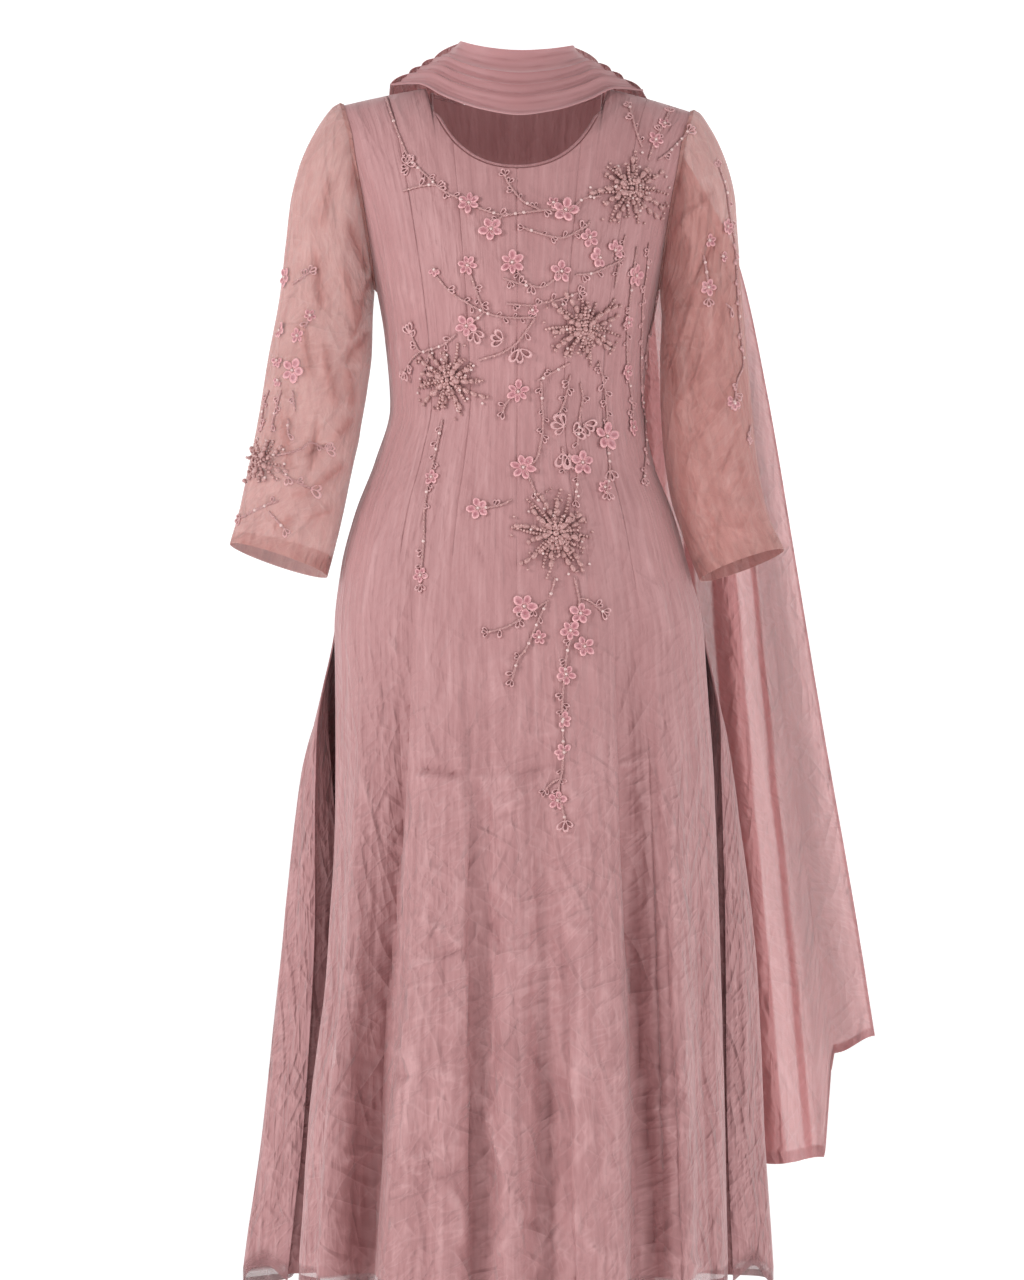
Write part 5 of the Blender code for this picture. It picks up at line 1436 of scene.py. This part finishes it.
def strand(points, faces, centre, line, phase):
    """Add one strand of a cord, wound round its centre line, with closed ends."""
    start = len(points)
    last = len(centre) - 1
    for i, (p, (_, normal)) in enumerate(zip(centre, line)):
        ahead = (centre[min(i + 1, last)] - centre[max(i - 1, 0)]).normalized()
        side = ahead.cross(normal).normalized()
        up = side.cross(ahead)
        twist = phase + i * CORD_TWIST
        middle = p + (side * math.cos(twist) + up * math.sin(twist)) * CORD_RADIUS * 0.36
        thin = 0.35 if i in (0, last) else 1.0
        for k in range(CORD_SIDES):
            turn = 2 * math.pi * k / CORD_SIDES
            points.append(middle + (side * math.cos(turn) + up * math.sin(turn))
                          * CORD_RADIUS * 0.68 * thin)
    for i in range(last):
        for k in range(CORD_SIDES):
            a = start + i * CORD_SIDES + k
            b = start + i * CORD_SIDES + (k + 1) % CORD_SIDES
            faces.append((a, b, b + CORD_SIDES, a + CORD_SIDES))
    faces.append(tuple(start + k for k in reversed(range(CORD_SIDES))))
    faces.append(tuple(start + last * CORD_SIDES + k for k in range(CORD_SIDES)))


def couched_cords(name, stems, material):
    """Cords of two twisted strands along the stems, as one mesh."""
    points, faces = [], []
    for stem in stems:
        line = [spot for spot in (lay(*place) for place in smooth_path(stem)) if spot]
        if len(line) < 3:
            continue
        centre = [p + n * CORD_RADIUS * 0.9 for p, n in line]
        for phase in (0.0, math.pi):
            strand(points, faces, centre, line, phase)
    mesh = bpy.data.meshes.new(name)
    mesh.from_pydata(points, [], faces)
    piece = new_piece(name, mesh, material)
    bpy.ops.object.select_all(action="DESELECT")
    piece.select_set(True)
    bpy.context.view_layer.objects.active = piece
    edit_mesh((bpy.ops.mesh.normals_make_consistent, {"inside": False}))
    return piece


CORD_SILK = thread_material("twisted silk cord", (0.37, 0.172, 0.172), (0.58, 0.325, 0.320),
                            0.45, 0.0, 1400.0, 0.0001)
for name, stems in (("front_stem_cords", FRONT_STEMS), ("sleeve_stem_cords", SLEEVE_STEMS)):
    cords = couched_cords(name, stems, CORD_SILK)
    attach(cords, "root")


# Flowers. Five or six padded satin petals, each a raised oval with a corded rim and a hollow
# middle, sewn round a pearl with a ring of small beads.
FLOWER_GROWTH = 1.16
FLOWERS = (  # right, down, across, petals
    (-48, 131, 20, 6), (-26, 157, 21, 5), (48, 138, 23, 5), (36, 131, 12, 5), (72, 165, 17, 5),
    (-5, 190, 21, 6), (44, 199, 19, 5), (82, 185, 18, 4), (97, 178, 18, 4), (118, 203, 20, 5),
    (-49, 193, 17, 6), (-82, 197, 13, 3), (-50, 253, 20, 5), (15, 237, 11, 4), (1, 319, 20, 6),
    (89, 364, 25, 5), (65, 390, 22, 5), (6, 395, 23, 6), (87, 415, 13, 5), (-39, 436, 19, 5),
    (-85, 405, 14, 5), (-96, 503, 14, 5), (7, 534, 22, 5), (22, 565, 13, 5), (63, 541, 20, 5),
    (53, 558, 18, 5), (67, 574, 19, 5), (49, 602, 17, 5), (46, 647, 15, 4), (47, 680, 16, 4),
    (41, 728, 17, 5), (138, 68, 15, 5), (147, 52, 12, 4), (109, 299, 14, 5), (115, 355, 15, 5),
    (110, 250, 12, 5), (124, 330, 12, 4),
    (-231, 205, 18, 5), (-207, 243, 11, 5), (-236, 258, 16, 4), (-219, 263, 14, 5),
    (-239, 288, 14, 4), (-224, 298, 22, 5), (-238, 308, 12, 3),
    (209, 154, 15, 5), (192, 168, 12, 4), (191, 215, 15, 5), (216, 329, 15, 4), (205, 184, 10, 3),
)


def shape_of(piece):
    """A modelled shape's points and faces, to be copied; the shape itself is removed."""
    mesh = piece.data
    points = np.empty(len(mesh.vertices) * 3)
    mesh.vertices.foreach_get("co", points)
    corners = np.empty(len(mesh.loops), dtype=np.int64)
    mesh.loops.foreach_get("vertex_index", corners)
    sizes = np.array([p.loop_total for p in mesh.polygons])
    bpy.data.objects.remove(piece)
    return points.reshape(-1, 3), corners, sizes


def copies(name, shape, frames, material):
    """One mesh of many copies of a shape, each at its own frame (three axes and a place). The
    UV map "shape" holds every point's own place on the shape."""
    points, corners, sizes = shape
    frames = np.array(frames)
    placed = np.einsum("nij,pj->npi", frames[:, :, :3], points) + frames[:, None, :, 3]
    faces = (corners[None, :] + len(points) * np.arange(len(frames))[:, None]).ravel()
    mesh = new_mesh(name, placed.reshape(-1, 3), faces, np.tile(sizes, len(frames)))
    add_uv(mesh, "shape", np.tile(points[corners][:, :2] + (0.0, 0.5), (len(frames), 1)))
    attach(new_piece(name, mesh, material), "root")


def frame_at(point, normal, turn, length, width, height, tilt=0.0):
    """A frame on the cloth: its first axis at an angle from level, its third away from it."""
    level = Vector((0.0, 0.0, 1.0)).cross(normal).normalized() * -1
    level = level if level.x > 0 else -level
    up = normal.cross(level) * -1
    up = up if up.z > 0 else -up
    first = level * math.cos(turn) + up * math.sin(turn)
    second = normal.cross(first)
    lifted = first * math.cos(tilt) + normal * math.sin(tilt)
    third = lifted.cross(second)
    return np.column_stack((np.array(lifted) * length, np.array(second) * width,
                            np.array(third) * height, np.array(point)))


def bead_at(point, normal, lift, wide, tall, turn=0.0):
    """The frame of a round bead that stands off the cloth."""
    return frame_at(point + normal * lift, normal, turn, wide, wide, tall)


bpy.ops.object.select_all(action="DESELECT")
bpy.ops.mesh.primitive_circle_add(vertices=10, radius=0.5, fill_type="NGON",
                                  location=(0.56, 0.0, 0.0))
petal = bpy.context.object
edit_mesh((bpy.ops.mesh.extrude_region_move,
           {"TRANSFORM_OT_translate": {"value": (0.0, 0.0, 0.24)}}),
          (bpy.ops.transform.resize, {"value": (0.86, 0.84, 1.0)}),
          (bpy.ops.mesh.inset, {"thickness": 0.15, "depth": 0.05}),
          (bpy.ops.mesh.inset, {"thickness": 0.10, "depth": -0.14}))
bpy.ops.object.transform_apply(location=True, rotation=True, scale=True)
for vertex in petal.data.vertices:   # narrow towards the middle of the flower, and rise
    t = vertex.co.x
    vertex.co.y *= 0.50 + 0.50 * min(max(t / 0.55, 0.0), 1.0)
    vertex.co.z += 0.10 * t
PETAL = shape_of(petal)

bpy.ops.mesh.primitive_uv_sphere_add(segments=8, ring_count=5, radius=0.5)
bead = bpy.context.object
edit_mesh((bpy.ops.transform.resize, {"value": (1.0, 1.0, 0.92)}))
BEAD = shape_of(bead)

PETAL_SATIN = thread_material("petal satin", (0.60, 0.275, 0.300), (0.80, 0.445, 0.460), 0.38,
                              0.05, 700.0, 0.0002)
tree = PETAL_SATIN.node_tree
# Each petal is painted darker towards its hollow middle, a painted shade, and lighter than its
# satin on the corded rim, a painted highlight.
own = add_node(tree, "UVMap", {}, uv_map="shape")
from_middle = add_node(tree, "VectorMath", {0: own.outputs["UV"], 1: (0.58, 0.5, 0.0)},
                       operation="DISTANCE")
rim = colour_ramp(tree, from_middle.outputs["Value"], (0.10, (0.58, 0.40, 0.44)),
                  (0.28, (0.80, 0.68, 0.72)), (0.42, (1.18, 1.22, 1.20)))
feed(tree, tree.nodes["Principled BSDF"], {"Base Color": multiply_colour(
    tree, 1.0, tree.nodes["Color Ramp"].outputs["Color"], rim)})
PEARL = thread_material("small pearl", (0.60, 0.37, 0.36), (0.80, 0.60, 0.58), 0.26, 0.5,
                        500.0, 0.00002)
chance = np.random.RandomState(7)
petal_frames, pearl_frames, bead_frames = [], [], []
for right, down, across, petals in FLOWERS:
    spot = lay(right, down)
    if spot is None:
        continue
    point, normal = spot
    size = across * FLOWER_GROWTH / 1000 / 2
    start = chance.uniform(0, 2 * math.pi)
    for k in range(petals):
        step = 2 * math.pi / (petals if petals > 4 else 6)
        turn = start + k * step + chance.uniform(-0.10, 0.10)
        long = size * chance.uniform(0.90, 1.06)
        wide = long * (0.74 if petals < 6 else 0.62) * chance.uniform(0.90, 1.08)
        petal_frames.append(frame_at(point + normal * 0.0004, normal, turn, long, wide,
                                     0.0042, tilt=chance.uniform(0.02, 0.22)))
    pearl_frames.append(bead_at(point, normal, 0.0022, 0.0034, 0.0030))
    for k in range(6):
        turn = start + 2 * math.pi * k / 6 + 0.3
        side = frame_at(point, normal, turn, 1.0, 1.0, 1.0)
        place = np.array(point + normal * 0.0019) + side[:, 0] * 0.0026
        bead_frames.append(bead_at(Vector(place), normal, 0.0, 0.0015, 0.0015, turn))
copies("flower_petals", PETAL, petal_frames, PETAL_SATIN)


# Loop leaves. Small loops of pink silk cord in pairs and threes along the stems and at their
# tips, some round a bead, with longer beaded leaves beside the flowers.
LEAF_SPRIGS = (  # right, down, direction in degrees, length, how many loops
    (-14, 268, 165, 13, 3), (2, 276, -80, 15, 3), (-43, 258, -70, 14, 3), (47, 354, 160, 15, 4),
    (56, 360, 20, 13, 3), (66, 352, -30, 15, 3), (-110, 92, 60, 11, 4), (-108, 96, 200, 10, 3),
    (46, 380, -95, 18, 2), (52, 382, -85, 16, 2), (92, 398, -80, 12, 3), (126, 406, -90, 9, 3),
    (90, 420, -90, 9, 3), (-29, 560, 180, 8, 3), (-5, 607, -110, 9, 2), (48, 748, -80, 12, 3),
    (85, 539, -30, 9, 3), (28, 718, -140, 8, 2), (-96, 512, -90, 9, 3), (112, 35, 110, 8, 3),
    (152, 40, 70, 8, 3), (171, 60, 40, 9, 3), (-12, 104, 110, 8, 3), (-106, 261, 110, 12, 3),
    (-112, 299, -110, 11, 3), (7, 156, 165, 7, 2), (61, 220, 40, 8, 3), (-14, 339, -120, 8, 2),
    (43, 339, -110, 8, 2), (58, 428, -95, 8, 2), (-191, 377, 10, 11, 3), (-207, 416, -20, 14, 2),
    (-276, 446, 200, 9, 3), (-233, 456, -60, 9, 2), (-255, 353, -90, 7, 2),
    (-207, 200, 30, 9, 3), (217, 331, -90, 9, 3), (231, 364, -90, 8, 3), (191, 226, -90, 9, 3),
    (201, 95, 100, 8, 3),
)
bpy.ops.mesh.primitive_torus_add(major_segments=12, minor_segments=5, major_radius=0.40,
                                 minor_radius=0.11)
loop = bpy.context.object
edit_mesh((bpy.ops.transform.resize, {"value": (1.0, 0.62, 1.5)}),
          (bpy.ops.transform.translate, {"value": (0.5, 0.0, 0.05)}))
for vertex in loop.data.vertices:
    vertex.co.y *= 0.45 + 0.75 * min(max(vertex.co.x, 0.0), 1.0)
LOOP = shape_of(loop)
LOOP_SILK = thread_material("pink loop cord", (0.52, 0.260, 0.268), (0.78, 0.475, 0.478), 0.42,
                            0.0, 1300.0, 0.0001)
loop_frames = []


def sprig(point, normal, heading, length, count):
    """Loops that fan from one place, and a bead where they meet."""
    for k in range(count):
        spread = (k - (count - 1) / 2) * 0.75 + chance.uniform(-0.12, 0.12)
        long = length * chance.uniform(0.85, 1.1) / 1000
        loop_frames.append(frame_at(point + normal * 0.0005, normal, heading + spread, long,
                                    long * 0.95, 0.0075, tilt=chance.uniform(0.0, 0.15)))
    bead_frames.append(bead_at(point, normal, 0.0012, 0.0022, 0.0020, heading))


for right, down, heading, length, count in LEAF_SPRIGS:
    spot = lay(right, down)
    if spot:
        sprig(*spot, math.radians(heading), length, count)
for stem in FRONT_STEMS + SLEEVE_STEMS:
    line = smooth_path(stem, 1.0)
    travelled, side, gap = 0.0, 1, 7.0
    for before, after in zip(line, line[1:]):
        travelled += float(np.hypot(*(after - before)))
        if travelled < gap:
            continue
        travelled, gap = 0.0, chance.uniform(6.0, 11.0)
        spot = lay(*after)
        if spot is None:
            continue
        heading = math.atan2(-(after - before)[1], (after - before)[0])
        side = -side
        kind = chance.uniform()
        point, normal = spot
        if kind < 0.55:
            sprig(point, normal, heading + side * chance.uniform(0.6, 1.2),
                  chance.uniform(6.5, 9.5), 1 if kind < 0.25 else 2)
        elif kind < 0.8:
            bead_frames.append(bead_at(point, normal, 0.0016, 0.0028, 0.0026))
        else:
            pearl_frames.append(bead_at(point, normal, 0.0018, 0.0036, 0.0032))
copies("loop_leaves", LOOP, loop_frames, LOOP_SILK)


# Bead bursts. Rays of padded mauve bugles and strings of cut beads round a cluster of pearls,
# laid in two tiers over the raised mounds of the front, and one flat burst on a sleeve.
FULL_REACH = 38          # reach of a burst whose middle is of full size, in millimetres
BEAD_STEP = 3.3          # from bead to bead of a ray, and from bugle to bugle
BUGLE_STEP = 8.4
RAY_BEND = 0.006         # turn of a ray for each millimetre, in radians
BURSTS = (  # right, down, reach, rays
    (112, 117, 38, 22), (66, 256, 38, 22), (-68, 307, 37, 21), (38, 462, 41, 24),
    (-255, 391, 25, 14),
)
bpy.ops.mesh.primitive_uv_sphere_add(segments=8, ring_count=7, radius=0.5,
                                     rotation=(0.0, math.pi / 2, 0.0))
bugle = bpy.context.object
bpy.ops.object.transform_apply(location=True, rotation=True, scale=True)
edit_mesh((bpy.ops.transform.translate, {"value": (0.5, 0.0, 0.0)}))
for vertex in bugle.data.vertices:
    vertex.co.y *= 0.55 + 0.75 * vertex.co.x
    vertex.co.z *= 0.55 + 0.75 * vertex.co.x
BUGLE = shape_of(bugle)
BUGLE_SATIN = thread_material("mauve bugle", (0.36, 0.170, 0.165), (0.62, 0.350, 0.335), 0.36,
                              0.10, 900.0, 0.0002)
CUT_BEAD = thread_material("cut bead", (0.32, 0.145, 0.142), (0.68, 0.400, 0.380), 0.24, 0.3,
                           420.0, 0.00002)
bugle_frames, cut_frames = [], []


def burst_ray(right, down, reach, turn, start, far, lift, raised, way, beaded):
    """One ray of a burst, of cut beads or bugles, with most rays ending in a bead."""
    for r in np.arange(start, far, BEAD_STEP if beaded else BUGLE_STEP):
        bend = turn + RAY_BEND * (r - start) * way
        spot = lay(right + r * math.cos(bend), down - r * math.sin(bend))
        if spot is None:
            continue
        point, normal = spot
        taper = 1.0 - 0.25 * r / reach
        if beaded:
            wide = 0.0041 * taper * chance.uniform(0.80, 1.15)
            cut_frames.append(bead_at(point, normal, lift + wide * 0.4, wide, wide, bend))
        else:
            long = min(9.0, far - r + 2.0) / 1000
            bugle_frames.append(frame_at(point + normal * (lift + 0.0013), normal, bend, long,
                                         0.0062 * taper, 0.0052, tilt=0.10 if raised else 0.04))
    spot = lay(right + far * math.cos(turn), down - far * math.sin(turn))
    if spot and chance.uniform() < 0.8:
        target = pearl_frames if chance.uniform() < 0.35 else cut_frames
        target.append(bead_at(*spot, lift + 0.0013, 0.0031, 0.0029))


def burst_heart(right, down, share):
    """The cluster of beads and pearls in the middle of a burst."""
    for ring, (radius, count, size, lift) in enumerate((
            (0.0, 1, 6.2, 0.0044), (5.8, 5, 5.6, 0.0036), (9.4, 8, 3.8, 0.0030))):
        for k in range(count):
            turn = 2 * math.pi * k / count + ring * 0.5 + chance.uniform(-0.15, 0.15)
            spot = lay(right + share * radius * math.cos(turn),
                       down - share * radius * math.sin(turn))
            if spot:
                wide = size * share * chance.uniform(0.9, 1.1) / 1000
                target = pearl_frames if ring == 2 and k % 2 else cut_frames
                target.append(bead_at(*spot, lift, wide, wide))


for right, down, reach, rays in BURSTS:
    for tier, (inner, outer, lift, count) in enumerate((
            (0.20, 1.00, 0.0006, rays), (0.12, 0.62, 0.0034, int(rays * 0.6)))):
        for k in range(count):
            turn = 2 * math.pi * (k + 0.5 * tier) / count + chance.uniform(-0.13, 0.13)
            far = reach * outer * chance.uniform(0.66, 1.12)
            burst_ray(right, down, reach, turn, reach * inner, far, lift, tier,
                      1 if k % 3 else -1, k % 2 == 0 or tier == 1 and k % 3 == 0)
    burst_heart(right, down, reach / FULL_REACH)
copies("burst_bugles", BUGLE, bugle_frames, BUGLE_SATIN)
copies("cut_beads", BEAD, cut_frames, CUT_BEAD)
copies("small_beads", BEAD, bead_frames, CUT_BEAD)
copies("pearls", BEAD, pearl_frames, PEARL)
